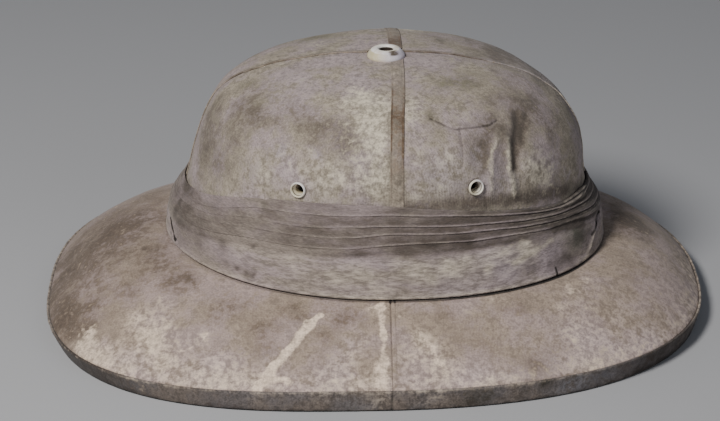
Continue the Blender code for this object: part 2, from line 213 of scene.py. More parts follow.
def all_round(rows):
    """The patches, and the near side's again half a turn on, larger, for the far side."""
    return [*rows, *((-x, -y, z, 1.25 * reach, 0.8 * strength)
                     for x, y, z, reach, strength in rows if y < FAR_SIDE)]


def strokes(points, rows, drift=0.0):
    """Marks laid on a surface along paths; rows of width, strength and the path's points."""
    moved = points
    if drift:
        moved = points + drift * np.stack([waves(points, 6.0, s) for s in (5.3, 23.1, 61.7)], -1)
    total = np.zeros(points.shape[:-1])
    for width, strength, *path in rows:
        path = np.array(path, float)
        gone = lengths(path)
        at = np.linspace(0.0, gone[-1], int(gone[-1] / MARK_SPACING) + 2)
        path = np.stack([np.interp(at, gone, column) for column in path.T], -1)
        path = np.array([nearest(points, place) for place in path])
        path[1:-1] = (path[:-2] + 2 * path[1:-1] + path[2:]) / 4
        near = np.full(total.shape, 1e9)
        for a, b in zip(path, path[1:]):
            if (a == b).all():
                continue
            along = np.clip(((moved - a) @ (b - a)) / ((b - a) @ (b - a)), 0, 1)
            near = np.minimum(near, ((moved - a - along[..., None] * (b - a)) ** 2).sum(-1))
        total += strength * np.exp(-near / width ** 2)
    return total


def outward(rings):
    """The direction square to a surface of rings, outward where they climb."""
    along = np.roll(rings, -1, axis=1) - np.roll(rings, 1, axis=1)
    normal = np.cross(along, np.gradient(rings, axis=0))
    return normal / np.maximum(np.linalg.norm(normal, axis=-1, keepdims=True), 1e-9)


def woven(across, up):
    """Where each point of a mesh lies in its own cloth, for the weave."""
    return np.stack(np.broadcast_arrays(across, up, 0.0), -1) * MM


def ring_mesh(name, rings, finishes, paints, threads=None, closed=False, turned=False):
    """A smooth mesh of rings in millimetres, capped unless it is closed into a tube.

    Paints are named values at its points, for the first rings or for all; turned faces it
    the other way.
    """
    rows, around = rings.shape[:2]
    k = np.arange(rows * around).reshape(rows, around)
    low, high = (k, np.roll(k, -1, axis=0)) if closed else (k[:-1], k[1:])
    faces = np.stack([low, np.roll(low, -1, 1), np.roll(high, -1, 1), high], -1).reshape(-1, 4)
    faces = (faces[:, ::-1] if turned else faces).tolist()
    if not closed:
        faces += [k[0][::-1].tolist(), k[-1].tolist()]
    mesh = bpy.data.meshes.new(name)
    points = (rings.reshape(-1, 3) + (CROWN_MIDDLE_X, 0.0, 0.0)) * MM
    mesh.from_pydata(points.tolist(), [], faces)
    for label, values in paints.items():
        full = np.zeros((rows, around), np.float32)
        full[:len(values) if np.ndim(values) == 2 else rows] = values
        mesh.attributes.new(label, "FLOAT", "POINT").data.foreach_set("value", full.ravel())
    if threads is not None:
        layer = mesh.attributes.new("threads", "FLOAT_VECTOR", "POINT")
        layer.data.foreach_set("vector", np.ascontiguousarray(threads, np.float32).ravel())
    mesh.shade_smooth()
    for finish in finishes:
        mesh.materials.append(finish)
    made = bpy.data.objects.new(name, mesh)
    bpy.context.scene.collection.objects.link(made)
    return made


def dye(red, green, blue):
    """A colour given as it is seen, 0 to 255, as linear light."""
    seen = np.array([red, green, blue]) / 255.0
    return (*np.where(seen < 0.04045, seen / 12.92, ((seen + 0.055) / 1.055) ** 2.4), 1.0)


class Wire:
    """One socket of a material, so that masks and mixes are written as sums and products."""

    def __init__(self, tree, socket):
        self.tree, self.socket = tree, socket

    def node(self, kind, settings=None, sockets=None, out=0):
        """A node: its settings first, such as an operation, and then its sockets."""
        made = self.tree.nodes.new(kind)
        for key, value in (settings or {}).items():
            setattr(made, key, value)
        for key, value in (sockets or {}).items():
            if isinstance(value, Wire):
                self.tree.links.new(value.socket, made.inputs[key])
            else:
                made.inputs[key].default_value = value
        return Wire(self.tree, made.outputs[out])

    def maths(self, operation, *values):
        return self.node("ShaderNodeMath", {"operation": operation}, dict(enumerate(values)))

    def __add__(self, other):
        return self.maths("ADD", self, other)

    __radd__ = __add__

    def __mul__(self, other):
        return self.maths("MULTIPLY", self, other)

    def __sub__(self, other):
        return self.maths("SUBTRACT", self, other)

    def wave(self):
        return self.maths("SINE", self)

    def rise(self, low, high):
        """0 below low, 1 above high, smooth between."""
        return self.node("ShaderNodeMapRange", {"interpolation_type": "SMOOTHSTEP"},
                         {"Value": self, "From Min": low, "From Max": high})

    def mixed(self, first, second, share):
        """Two colours mixed, by the share of the second."""
        return self.node("ShaderNodeMix", {"data_type": "RGBA"},
                         {0: share, 6: first, 7: second}, 2)

    def toward(self, seen, share):
        """This colour mixed with one that is given as it is seen."""
        return self.mixed(self, dye(*seen), share)

    def dimmed(self, level):
        """This colour times a level."""
        return self.node("ShaderNodeVectorMath", {"operation": "SCALE"},
                         {0: self, "Scale": level})

    def raised(self, strength, distance):
        """Bumps of this height."""
        return self.node("ShaderNodeBump", None,
                         {"Strength": strength, "Distance": distance, "Height": self})

    def into(self, shader, socket):
        self.tree.links.new(self.socket, shader.inputs[socket])


def new_finish(name, rough, gloss, sheen):
    """A material with the mesh's own place in it, from which its patterns are made."""
    made = bpy.data.materials.new(name)
    made.use_nodes = True
    shader = made.node_tree.nodes["Principled BSDF"]
    shader.inputs["Roughness"].default_value = rough
    shader.inputs["Specular IOR Level"].default_value = gloss
    shader.inputs["Sheen Weight"].default_value = sheen
    shader.inputs["Sheen Roughness"].default_value = 0.6
    tree = made.node_tree
    place = Wire(tree, tree.nodes.new("ShaderNodeTexCoord").outputs["Object"])
    return made, shader, place


def painted(place, label, out="Fac"):
    """A value painted on the mesh."""
    return place.node("ShaderNodeAttribute", {"attribute_name": label}, out=out)


def speckle(place, size, detail, rough, drift=0.0):
    """Noise from 0 to 1, with features of a size in millimetres."""
    return place.node("ShaderNodeTexNoise", {"noise_dimensions": "3D"},
                      {"Vector": place, "Scale": 1 / (size * MM), "Detail": detail,
                       "Roughness": rough, "Distortion": drift})


def worn_cloth(name, main, blush, pale, cool, dirt_and_shade, moss,
               mottle=1.0, along=(1, 1, 1), frayed=1.0):
    """Handled cotton: two tones in clouds, painted fading and highlights, dirt, painted shade, moss
    stain, and a weave.
    """
    made, shader, place = new_finish(name, rough=0.92, gloss=0.25, sheen=0.10)
    place = place.node("ShaderNodeVectorMath", {"operation": "MULTIPLY"}, {0: place, 1: along})
    clouds = speckle(place, 24.0, 3.0, 0.55) - 0.5
    patch = speckle(place, 9.0, 3.0, 0.6, 0.3) - 0.5
    smudge = speckle(place, 5.0, 3.0, 0.6, 0.3) - 0.5
    fleck = speckle(place, 2.6, 3.0, 0.6, 0.2) - 0.5
    grain = speckle(place, 1.0, 2.0, 0.6) - 0.5
    ragged = (patch * 0.8 + smudge * 1.1 + fleck * 1.4) * frayed
    tones = (clouds * 1.4 + smudge * 0.5).rise(-0.16, 0.16)
    colour = place.mixed(dye(*main), dye(*blush), tones)
    colour = colour.toward(cool, (painted(place, "cool") + ragged * 0.6).rise(0.18, 0.85))
    mossy = painted(place, "moss") + ragged - clouds * 0.3
    colour = colour.toward(moss, mossy.rise(0.14, 0.98))
    # Dirt, and painted shade in the creases, under the band's folds and at the rim binding's ends.
    colour = colour.toward(dirt_and_shade, (painted(place, "dirt_and_shade") + ragged * 1.25).rise(0.10, 1.04))
    # Fading, and painted highlights on the ridges and on the band's fold edges.
    colour = colour.toward(pale, (painted(place, "pale") + ragged * 0.8).rise(0.13, 1.02))
    bared = painted(place, "bare") + smudge * 0.35 + fleck * 0.35
    colour = colour.toward((229, 207, 186), bared.rise(0.30, 0.66))
    # Dark seam lines and the tide line, and painted shade in creases, gaps, under folds and along
    # the floor.
    colour = colour.toward((34, 28, 24), (painted(place, "dark") + ragged * 0.3).rise(0.15, 0.95))
    weave = painted(place, "threads", "Vector")
    across = weave.node("ShaderNodeSeparateXYZ", None, {0: weave})
    up = Wire(across.tree, across.socket.node.outputs[1])
    turn = np.pi / (THREAD * MM)
    threads = (across * turn).wave() * (up * turn).wave()
    threads = threads.maths("ABSOLUTE", threads)
    spots = (smudge * 1.1 + fleck * 1.6 + grain * 1.1).rise(-0.42, 0.42) - 0.5
    level = 1.0 + spots * (0.64 * mottle) + clouds * 0.4 + (threads - 0.4) * 0.12
    colour.dimmed(level).into(shader, "Base Color")
    height = threads * 0.45 + grain * 1.1 + fleck * 1.8
    height.raised(0.6, 0.3 * MM).into(shader, "Normal")
    return made


crown_cloth = worn_cloth("crown_cloth", main=(159, 148, 132), blush=(161, 147, 146),
                         pale=(194, 184, 165), cool=(168, 156, 159), dirt_and_shade=(97, 87, 78),
                         moss=(120, 115, 93))
pith = worn_cloth("pith_lining", main=(150, 128, 98), blush=(140, 120, 92),
                  pale=(170, 150, 120), cool=(152, 134, 106), dirt_and_shade=(110, 92, 70),
                  moss=(120, 108, 80), mottle=0.6)


def columns(count, table):
    """Angles round the helmet, as close together as the table's degrees and spacings ask."""
    at = np.linspace(-180.0, 180.0, 7201)
    gone = np.concatenate([[0.0], np.cumsum(1.0 / np.interp(at, *np.array(table).T))[:-1]])
    return np.radians(np.interp(np.linspace(0, gone[-1], count, endpoint=False), gone, at))


def by_direction(toward, front, rear, side):
    """A value that goes smoothly from the front's to the side's to the rear's."""
    end = np.where(np.cos(toward) > 0, front, rear)
    return end * np.cos(toward) ** 2 + side * np.sin(toward) ** 2


def foot_height(toward):
    """The height at which the brim's upper face meets the crown."""
    return by_direction(toward, 40.7, 44.2, 38.2)


angle = columns(CROWN_COLUMNS, ((-180, 1.6), (-165, 0.8), (-20, 0.8), (0, 1.9), (165, 1.9),
                                (180, 1.6)))
shell_foot = foot_height(angle) - BEHIND_BRIM
first_row = [row[0] for row in CROWN_SECTIONS].index(COVER_STARTS)
sections = smooth_rows(CROWN_SECTIONS, np.linspace(first_row, len(CROWN_SECTIONS) - 1, 140))
rings = np.stack([crown_ring(angle, shell_foot + (COVER_STARTS - shell_foot) * share)
                  for share in np.linspace(0, 1, 8)[:-1]]
                 + [oval(angle, front, rear, side, CROWN_ROUND, height)
                    for height, front, rear, side in sections])
hole = np.stack([VENT_X + VENT_NECK * np.cos(angle), VENT_Y + VENT_NECK * np.sin(angle),
                 np.full(angle.shape, CROWN_TOP)], -1)
closing = np.linspace(0, 1, 15)[1:, None, None]
cap = rings[-1] + (hole - rings[-1]) * closing
cap[..., 2] = rings[-1, :, 2] + (CROWN_TOP - rings[-1, :, 2]) * (1 - (1 - closing[..., 0]) ** 2)
rings = np.concatenate([rings, cap])

# Dents and creases pressed into the cover, most of them over the front eyelet.
CREASES = (
    (1.3, 1.0, (67.3, -47.0, 120.8), (66.4, -52.7, 117.5), (65.4, -58.2, 113.1),
     (64.9, -62.0, 110.0), (65.2, -65.6, 100.9)),
    (1.1, 0.6, (72.2, -43.0, 120.8), (70.4, -50.5, 116.5), (69.0, -57.5, 112.4)))
RIDGES = (
    (2.0, 0.75, (55.7, -65.5, 115.9), (53.2, -69.3, 111.9), (52.2, -71.8, 106.4),
     (51.8, -73.8, 99.9), (52.2, -75.9, 90.8)),
    (2.1, 1.0, (61.1, -62.6, 114.7), (61.5, -66.5, 107.9), (61.9, -69.5, 100.5),
     (63.6, -68.9, 93.4), (64.7, -69.6, 87.0)))
TIDE_LINE = ((21.0, -66.4, 128.3), (26.2, -68.3, 126.0), (31.2, -69.6, 124.0), (34.8, -69.3, 123.4),
             (38.0, -68.2, 123.4), (41.7, -66.5, 123.1), (45.9, -64.4, 122.8), (50.1, -62.6, 122.4),
             (53.3, -60.5, 122.7), (56.1, -57.5, 123.2))
FINE_CREASE = ((36.4, -69.5, 122.6), (37.2, -75.5, 114.5), (37.1, -79.6, 106.0))
relief = 0.45 * waves(rings, 42.0) + 0.22 * waves(rings, 15.0, 9.0) + 0.09 * waves(rings, 5.0, 4.0)
relief += strokes(rings, [(2.0 * width, -1.0 * deep, *path) for width, deep, *path in CREASES]
                  + [(4.6, -0.7 * deep, *path) for _, deep, *path in CREASES]
                  + [(1.2 * width, 1.2 * high, *path) for width, high, *path in RIDGES]
                  + [(0.9, -0.4, *TIDE_LINE), (0.8, -0.4, *FINE_CREASE)])
relief += blots(rings, ((48.8, -69, 116.2, 5.0, -0.8), (46.4, -72.8, 110.6, 5.5, -1.1),
                        (45.2, -75.1, 106, 4.5, -0.8), (72.0, -62.0, 98.0, 9.0, 0.9),
                        (70.0, -58.0, 108.0, 5.0, 0.5), (100.0, -28.0, 84.0, 14.0, 0.9),
                        (-92.0, -33.0, 93.0, 12.0, -0.8), (70.0, 12.0, 131.0, 24.0, -2.2)))
relief += blots(rings, [(x, side * 78.0, height, 8.5, -0.45)
                        for side in (-1, 1) for _, x, height in EYELETS])
relief *= fade(rings[..., 2], CROWN_TOP - 0.3, CROWN_TOP - 2.3)
band_top = by_direction(angle, 71.5, 73.0, 88.6)
relief = np.minimum(relief, 0.15 + 3.0 * fade(rings[..., 2] - band_top, 1.0, 9.0))
rings = rings + outward(rings) * relief[..., None]
crown_facing = outward(rings)
shift = drifted(rings)
paints = {
    "pale": blots(shift, all_round((
        (-10, -51, 136, 7, 0.55), (-17, -54, 134, 6.5, 0.45), (-7, -64, 131, 6, 0.5),
        (-19, -44, 137, 5, 0.4), (-6, -81, 118, 4.3, 0.6), (-4, -76, 123, 4, 0.45),
        (-9, -72, 126, 5, 0.4), (-65, -66, 97, 6, 0.35), (-43, -26, 137, 5, 0.2),
        (-51, -69, 113, 5, 0.25), (-50, -73, 105, 2.7, 0.3), (-40, -74, 114, 2.7, 0.4),
        (-28, -83, 102, 9, 0.35), (-10, -86, 103, 7.5, 0.35), (-56, -5, 136, 1.6, 0.5),
        (-58, 25, 134, 5, 0.3), (-34, 24, 138, 6.5, 0.25), (12, -68, 129, 3.2, 0.4),
        (14, -83, 112, 5, 0.35), (30, -80, 111, 7, 0.4), (26, -85, 96, 6.5, 0.4),
        (13, -87, 95, 5, 0.35), (18, -32, 139, 5, 0.25), (72, -63, 101, 5.4, 0.3),
        (75, -56, 107, 3.2, 0.25), (80, -45, 113, 3.2, 0.25), (38, -61, 128, 4.3, 0.3),
        (-84, -49, 86, 6.5, 0.25), (-11, -70, 126, 14, 0.35), (-16, -80, 114, 14, 0.25),
        (-22, -60, 131, 12, 0.25), (-35, -83, 100, 13, 0.25), (80, -60, 98, 12, 0.35),
        (10, -55, 134, 10, 0.15), (-4, -56, 134, 7, 0.4), (-5, -84, 110, 7, 0.35),
        (-5, -87, 100, 7, 0.35), (-63, -67, 98, 6, 0.25), (-45, -77, 103, 6, 0.2),
        (82, -55, 90, 8, 0.5), (-30, 14, 139, 20, 0.2), (9, -62, 130, 10, 0.45),
        (75, -62, 93, 7, 0.2), (-34, -50, 134, 7, 0.25), (-13, -86, 98, 6, 0.2),
        (45, -14, 137, 13, 0.3))))
    # Along the ridges: a painted highlight.
    + strokes(rings, [(width, 0.7 * highlight, *path) for width, highlight, *path in RIDGES]),
    "cool": blots(shift, all_round((
        (-54, -68, 113, 5, 0.5), (-35, -78, 112, 4, 0.5), (-14, -32, 139, 5, 0.5),
        (95, -40, 86, 5, 0.5), (-45, -29, 136, 5, 0.45), (47, -72, 110, 5, 0.5),
        (1, 30, 140, 4, 0.4), (30, -82, 100, 22, 0.5), (60, -70, 95, 16, 0.5),
        (-70, -62, 98, 18, 0.4), (-40, -82, 94, 18, 0.4), (85, -50, 95, 12, 0.4)))),
    "dirt_and_shade": 0.62 * blots(shift, all_round((
        (-68, -26, 130, 7, 0.38), (-70, -44, 123, 7.5, 0.42), (-78, -36, 121, 5.4, 0.35),
        (-61, -52, 124, 5.4, 0.3), (-87, -21, 118, 2.7, 0.4), (-39, -62, 127, 4.3, 0.25),
        (-34, -68, 124, 4.3, 0.25), (-46, -57, 128, 7, 0.3), (-30, -66, 127, 3.8, 0.35),
        (-41, -71, 119, 4.3, 0.4), (-24, -76, 120, 5.9, 0.38), (-19, -79, 117, 4.8, 0.35),
        (-79, -46, 110, 2.7, 0.5), (-27, -42, 136, 4.8, 0.25), (-30, -48, 135, 2.7, 0.25),
        (-45, -38, 134, 1.6, 0.5), (-9, -42, 138, 1.6, 0.6), (-56, -15, 136, 3.8, 0.35),
        (-84, -47, 95, 3.2, 0.45), (-65, -59, 114, 2.2, 0.4), (-50, -49, 130, 3.8, 0.35),
        (-45, -17, 137, 4.3, 0.3), (-27, -22, 139, 3.8, 0.35), (-33, -76, 116, 3.2, 0.25),
        (-95, -25, 96, 4.3, 0.3), (22, -65, 130, 4.3, 0.55), (18, -73, 124, 5.4, 0.3),
        (32, -38, 137, 5.4, 0.4), (44, -34, 136, 5.4, 0.35), (28, -52, 134, 3.8, 0.3),
        (56, -14, 136, 2.2, 0.6), (53, -52, 128, 4.3, 0.5), (54, -60, 122, 4.3, 0.55),
        (59, -60, 119, 3.2, 0.4), (76, -38, 122, 7.5, 0.5), (69, -37, 127, 6.5, 0.35),
        (86, -39, 110, 3.2, 0.5), (86, -45, 106, 2.7, 0.45), (94, -37, 99, 4.3, 0.35),
        (92, -27, 113, 4.8, 0.4), (82, -55, 92, 4.8, 0.2), (47, -72, 112, 4.8, 0.15),
        (49.5, -73, 109, 3.8, 0.4), (51, -71, 113, 3.5, 0.4), (48, -75, 105, 4, 0.4),
        (50, -69, 116, 3.2, 0.4), (28, -74, 122, 4.3, 0.3), (17, -47, 137, 3.8, 0.35),
        (23, -86, 90, 5.4, 0.45), (11, -87, 90, 4.8, 0.35), (36, -82, 89, 4.8, 0.5),
        (46, -79, 87, 3.8, 0.55), (57, -74, 88, 4.3, 0.45), (66, -69, 85, 4.8, 0.45),
        (75, -63, 84, 5.9, 0.55), (85, -53, 82, 5.4, 0.55), (94, -42, 79, 4.3, 0.5),
        (57, -72, 98, 3.2, 0.15), (-18, -86, 91, 6.5, 0.3), (-35, -84, 88, 6.5, 0.35),
        (-51, -78, 87, 6.5, 0.3), (43, -2, 138, 5.4, 0.35), (62, 7, 135, 4.8, 0.45),
        (30, 20, 139, 3.8, 0.4), (16, 1, 141, 4.8, 0.35), (60, 20, 132, 14, 0.25),
        (80, -5, 126, 14, 0.3), (-96, -30, 100, 24, 0.22), (-76, -45, 120, 16, 0.2),
        (-45, -62, 124, 14, 0.15), (62, -40, 130, 18, 0.22), (78, -20, 126, 18, 0.25),
        (58, -14, 136, 14, 0.25), (50, -68, 116, 8, 0.35), (60, 20, 133, 16, 0.5),
        (82, 14, 124, 16, 0.45), (40, 34, 134, 16, 0.4), (97, 8, 110, 12, 0.5),
        (88, -42, 108, 20, 0.35), (-60, -50, 124, 14, 0.15), (-38, -66, 122, 14, 0.25),
        (-24, -75, 120, 9, 0.3), (52, -68, 115, 7, 0.35), (-66, -51, 121, 8, 0.3),
        (-74, -31, 126, 7, 0.25), (-25, -67, 127, 6, 0.4), (-20, -72, 124, 5, 0.3),
        (47, -60, 126, 6, 0.4), (58, -44, 130, 6, 0.3), (37, -73, 119, 5, 0.4),
        (42, -76, 108, 5, 0.15), (36, -70, 122, 5, 0.3), (47, -77, 100, 5, 0.3),
        (11, -7, 141, 2.0, 1.0), (-20, -78, 117, 5, 0.3), (-45, -61, 126, 7, 0.25),
        (-15, -79, 115, 7, 0.25), (-85, -46, 97, 9, 0.3), (25, 24, 139, 9, 0.3),
        (-94, -18, 110, 9, 0.2), (-97, -30, 89, 8, 0.35), (-92, -28, 104, 15, 0.3),
        (-96, -12, 112, 12, 0.3))), 1.35)
    + 0.12 * fade(rings[..., 0], -60, -100)
    # Along the creases and in the hollow between the ridges: painted shade. The long stroke round
    # the front is a darker band just above the wound cloth.
    + strokes(rings, ((3.0, 0.75, *CREASES[0][2:]), (1.8, 0.6, *CREASES[1][2:]),
                      (4.2, 0.62, (2, -88.0, 87.5), (10, -87.5, 87.5), (30, -84.5, 87.5),
                       (50, -79.0, 86.5), (70, -68.0, 84.0), (85, -54.5, 80.5), (97, -37.0, 77.0),
                       (103, -20.0, 74.0)),
                      (6.0, 0.45, (69.0, -50.0, 121.0), (66.0, -60.0, 113.0), (63.0, -68.0, 102.0)),
                      (3.0, 0.3, (60.0, -60.0, 119.0), (57.5, -67.0, 108.0),
                       (56.5, -72.0, 97.0))), 2.0),
    "moss": blots(shift, all_round((
        (-70, -43, 123, 8.6, 0.45), (-74, -17, 129, 7.5, 0.35), (22, -65, 130, 4.8, 0.6),
        (31, -39, 137, 6.5, 0.55), (42, -36, 136, 5.9, 0.5), (52, -49, 130, 4.8, 0.45),
        (49, -60, 125, 4.3, 0.45), (31, 24, 139, 4.8, 0.6), (-90, -14, 117, 4.8, 0.4),
        (-94, -18, 107, 4.3, 0.4), (-65, -66, 97, 6.5, 0.35), (41, -78, 104, 5.4, 0.25),
        (14, 16, 141, 5.4, 0.3), (-35, -64, 127, 8.6, 0.3), (-60, -35, 128, 18, 0.3),
        (40, -30, 136, 18, 0.3), (-98, -25, 100, 18, 0.3), (46, -72, 110, 7, 0.5),
        (60, 22, 132, 16, 0.4), (-30, 25, 137, 16, 0.2)))),
    # Dark cores of the creases and the fine crease: painted shade. The tide line is a stain.
    "dark": strokes(rings, [(1.5 * width, 0.42 * deep, *path) for width, deep, *path in CREASES]
                    + [(0.9, 0.68, *TIDE_LINE), (0.8, 0.52, *FINE_CREASE),
                       (0.9, 0.5, (35.6, -52.9, 132.6), (38.7, -54.2, 131.5), (41.9, -51.8, 131.6)),
                       (1.3, 0.45, (49.2, -77.1, 89.6), (49.3, -77.7, 82.7))], 0.5),
}
ring_reach = np.linalg.norm(rings[..., :2] - rings[..., :2].mean(1, keepdims=True), axis=-1)
panel = (np.floor(angle / (np.pi / 2)) + 0.5) * (np.pi / 2)
threads = woven((angle - panel) * ring_reach, lengths(rings).mean(1)[:, None])

# The inside, from fewer rings, joined at the foot and at the ventilator's hole.
rings_inside = sorted({*range(0, 60, 8), *range(60, len(rings), 7), len(rings) - 1})
inside = (rings - outward(rings) * CROWN_WALL)[rings_inside[::-1]]
inside[0] = hole - (0.0, 0.0, CROWN_WALL)
inside[-1, :, 2] = rings[0, :, 2]
outer_rows = len(rings)
rings = np.concatenate([rings, inside])
threads = np.concatenate([threads, inside * MM])
crown = ring_mesh("crown_shell", rings, (crown_cloth, pith), paints, threads, closed=True)
lined = np.zeros((len(rings), len(angle)), np.int32)
lined[outer_rows:-1] = 1
crown.data.polygons.foreach_set("material_index", lined.ravel())
crown.data.update()


def eyelet_place(side, x, height):
    """Where an eyelet's middle meets the crown, and the direction it faces."""
    higher, further_on = 2.0, 1.0
    front, rear, flank = crown_reach(height)
    end = front if x > 0 else rear
    fall = (1 - abs(x / end) ** CROWN_ROUND) ** (1 / CROWN_ROUND)
    above = crown_reach(height + higher)
    ahead = (1 - abs((x + further_on) / end) ** CROWN_ROUND) ** (1 / CROWN_ROUND)
    rise = Vector((0.0, side * (above[2] - flank) * fall, higher))
    along = Vector((further_on, side * flank * (ahead - fall), 0.0))
    facing = along.cross(rise) * (1.0 if side < 0 else -1.0)
    return Vector((x, side * flank * fall, height)), facing.normalized()


def pierce(piece, middle, axis, radius):
    """Cut a round hole straight through a shell and join its two edges into a wall."""
    data = bmesh.new()
    data.from_mesh(piece.data)
    middle = (middle + Vector((CROWN_MIDDLE_X, 0.0, 0.0))) * MM
    radius = radius * MM

    def parts(vert):
        """How deep a corner lies along the hole's axis, and its arm square to the axis."""
        arm = vert.co - middle
        deep = arm.dot(axis)
        return deep, arm - axis * deep

    inner = []
    for vert in data.verts:
        deep, arm = parts(vert)
        if abs(deep) < 2 * CROWN_WALL * MM and arm.length < radius:
            inner.append(vert)
    bmesh.ops.delete(data, geom=inner, context="VERTS")
    rim = [edge for edge in data.edges if edge.is_boundary]
    for vert in {vert for edge in rim for vert in edge.verts}:
        deep, arm = parts(vert)
        vert.co = middle + axis * deep + arm.normalized() * radius
    bmesh.ops.bridge_loops(data, edges=rim)
    data.to_mesh(piece.data)
    data.free()


for side in (-1, 1):
    for _, x, height in EYELETS:
        pierce(crown, *eyelet_place(side, x, height), EYELET_HOLE)
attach(crown, "root")
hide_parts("crown")


# ---- Seams of the crown ------------------------------------------------------------------------
# Each side seam is covered by a 7 mm strip of the same cotton, its edges turned in and stitched
# down from the ventilator to the band. Along the ridge the panels are lapped and stitched.

COLLAR_REACH = 10.5         # the seams start this far from the ventilator's middle
SEAM_POINTS = 190
STITCH = 2.6


def seam_path(column_of, across, foot):
    """Points and normals along the crown at one distance across a seam, from collar to foot."""
    axis, toward = column_of
    picked = np.abs((angle - toward + np.pi) % (2 * np.pi) - np.pi) < 0.9
    order = np.argsort((angle[picked] - toward + np.pi) % (2 * np.pi))
    outer, facing = rings[:outer_rows, picked][:, order], crown_facing[:, picked][:, order]
    path = []
    for row, face in zip(outer[::-1], facing[::-1]):
        height = row[:, 2].mean()
        if height < foot - 2:
            break
        wanted = across(height)
        key = row[:, axis]
        turn = 1 if key[-1] > key[0] else -1
        if turn * key[0] > turn * wanted or turn * key[-1] < turn * wanted:
            continue
        path.append([np.interp(turn * wanted, turn * key, values) for values in (*row.T, *face.T)])
    path = np.array(path)
    away = np.hypot(path[:, 0] - VENT_X, path[:, 1] - VENT_Y)
    start = np.interp(COLLAR_REACH, away, np.arange(len(path)))
    stop = np.interp(-foot, -path[:, 2], np.arange(len(path)))
    gone = lengths(path[:, :3])
    first, last = np.interp((start, stop), np.arange(len(path)), gone)
    where = np.linspace(first, last, SEAM_POINTS)
    out = np.stack([np.interp(where, gone, column) for column in path.T], -1)
    return out[:, :3], out[:, 3:], where - first


def taped_seam(name, column_of, centre, foot, profile, paint):
    """A closed strip along a seam; profile rows are distance across and height off the cloth."""
    sections, gone = [], []
    for off, high in profile:
        points, facing, along = seam_path(column_of, lambda z: centre(z) + off, foot)
        stitched = 0.16 * np.abs(np.sin(along / STITCH * 2 * np.pi)) * (2.0 < abs(off) < 3.0)
        sections.append(points + facing * (high - stitched)[:, None])
        gone.append(along)
    grid = np.stack(sections, 1)
    threads = woven(np.array(profile)[None, :, 0], np.array(gone).T)
    made = ring_mesh(name, grid, (seam_cloth,), paint(grid), threads)
    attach(made, "root")
    return made


seam_cloth = worn_cloth("seam_cloth", main=(150, 138, 123), blush=(152, 139, 130),
                        pale=(186, 175, 158), cool=(160, 151, 149), dirt_and_shade=(98, 80, 64),
                        moss=(118, 108, 86))


def strip_paint(grid):
    """Brown with age, most of all along its stitched edges high on the crown, and darker along one
    edge as painted shade.
    """
    shift, height = drifted(grid), grid[..., 2]
    edge = np.zeros(grid.shape[:2])
    # Both stitched edges; the wider band on the second edge also stands for the shade beside the
    # strip (painted shade).
    edge[:, 2:4] = edge[:, -5:-1] = 1.0
    worn = np.interp(height, (95, 106, 121, 130, 136, 139), (0.1, 0.3, 0.9, 1.0, 0.6, 0.1))
    brown = np.interp(height, (112, 120, 130, 136, 140), (0.25, 0.36, 0.42, 0.35, 0.2))
    return {
        "pale": blots(shift, ((4, -85, 100, 6, 0.35), (4, -87, 88, 7, 0.3), (6, -30, 138, 9, 0.4))),
        "dirt_and_shade": brown + 0.5 * edge * worn + blots(shift, (
            (4, -68, 129, 5, 0.35), (4, 70, 124, 12, 0.5), (6, 14, 140, 14, 0.7))),
        "moss": 0.2 * worn,
        "cool": 0.2,
        "dark": 0.22 * edge * worn,
    }


SIDE_PROFILE = ((-3.5, 0.05), (-3.55, 0.22), (-3.2, 0.36), (-2.75, 0.34), (-2.45, 0.26),
                (-2.1, 0.36), (-1.0, 0.42), (0.0, 0.44), (1.0, 0.42), (2.1, 0.34), (2.45, 0.24),
                (2.75, 0.29), (3.2, 0.24), (3.6, 0.12), (3.5, 0.05))
for side, place, cut_long in ((-1, "right", 0.124), (1, "left", 0.136)):
    strip = taped_seam("seam_strip_" + place, (0, side * np.pi / 2),
                       lambda z: np.interp(z, (90, 112, 129, 140, 141), (3.8, 3.8, 4.5, 6.0, 6.1)),
                       74.0, SIDE_PROFILE, strip_paint)
    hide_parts("side_seam_" + place)


def ridge_paint(grid):
    """Dirt and shadow where the lap gapes, and a pale edge toward the front that is a painted
    highlight.
    """
    along = grid[..., 0]
    lower = np.zeros(grid.shape[:2])
    lower[:, :3] = 1.0
    gaping = np.interp(along, (-86, -81, -71, -66, -61, -52, -45, -34, -12, 12, 40, 52, 58),
                       (0, 0.7, 0.7, 0.2, 0.6, 0.5, 0.25, 0.2, 0.1, 0.6, 0.6, 0.5, 0.1))
    return {
        # A painted highlight on the lap's edge, strongest toward the front.
        "pale": np.interp(along, (-95, 20, 50, 58, 86, 94, 104),
                          (0.25, 0.12, 0.12, 0.15, 0.3, 0.65, 0.8)),
        "dirt_and_shade": 0.25 + 0.5 * gaping,
        "cool": np.interp(along, (30, 60), (0, 0.8)),
        "dark": (0.25 + 0.75 * lower) * gaping * (0.75 + 0.5 * waves(grid, 5.0)),
    }


RIDGE_PROFILE = ((-1.6, 0.05), (-1.75, 0.3), (-1.5, 0.55), (-1.0, 0.62), (-0.4, 0.5), (0.4, 0.42),
                 (1.2, 0.32), (1.6, 0.22), (1.6, 0.05))
for toward, place in ((0.0, "front"), (np.pi, "rear")):
    seam = taped_seam("ridge_" + place, (1, toward), lambda z: 0.5 + 0.35 * np.sin(z / 9.0),
                      72.0, RIDGE_PROFILE, ridge_paint)
    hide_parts("ridge_seam_" + place)


# ---- Brim --------------------------------------------------------------------------------------
# Pith about 10 mm thick at the crown and thinner at the rim, covered above and below with the
# same cotton, which is seamed on each side where the front and rear halves meet.

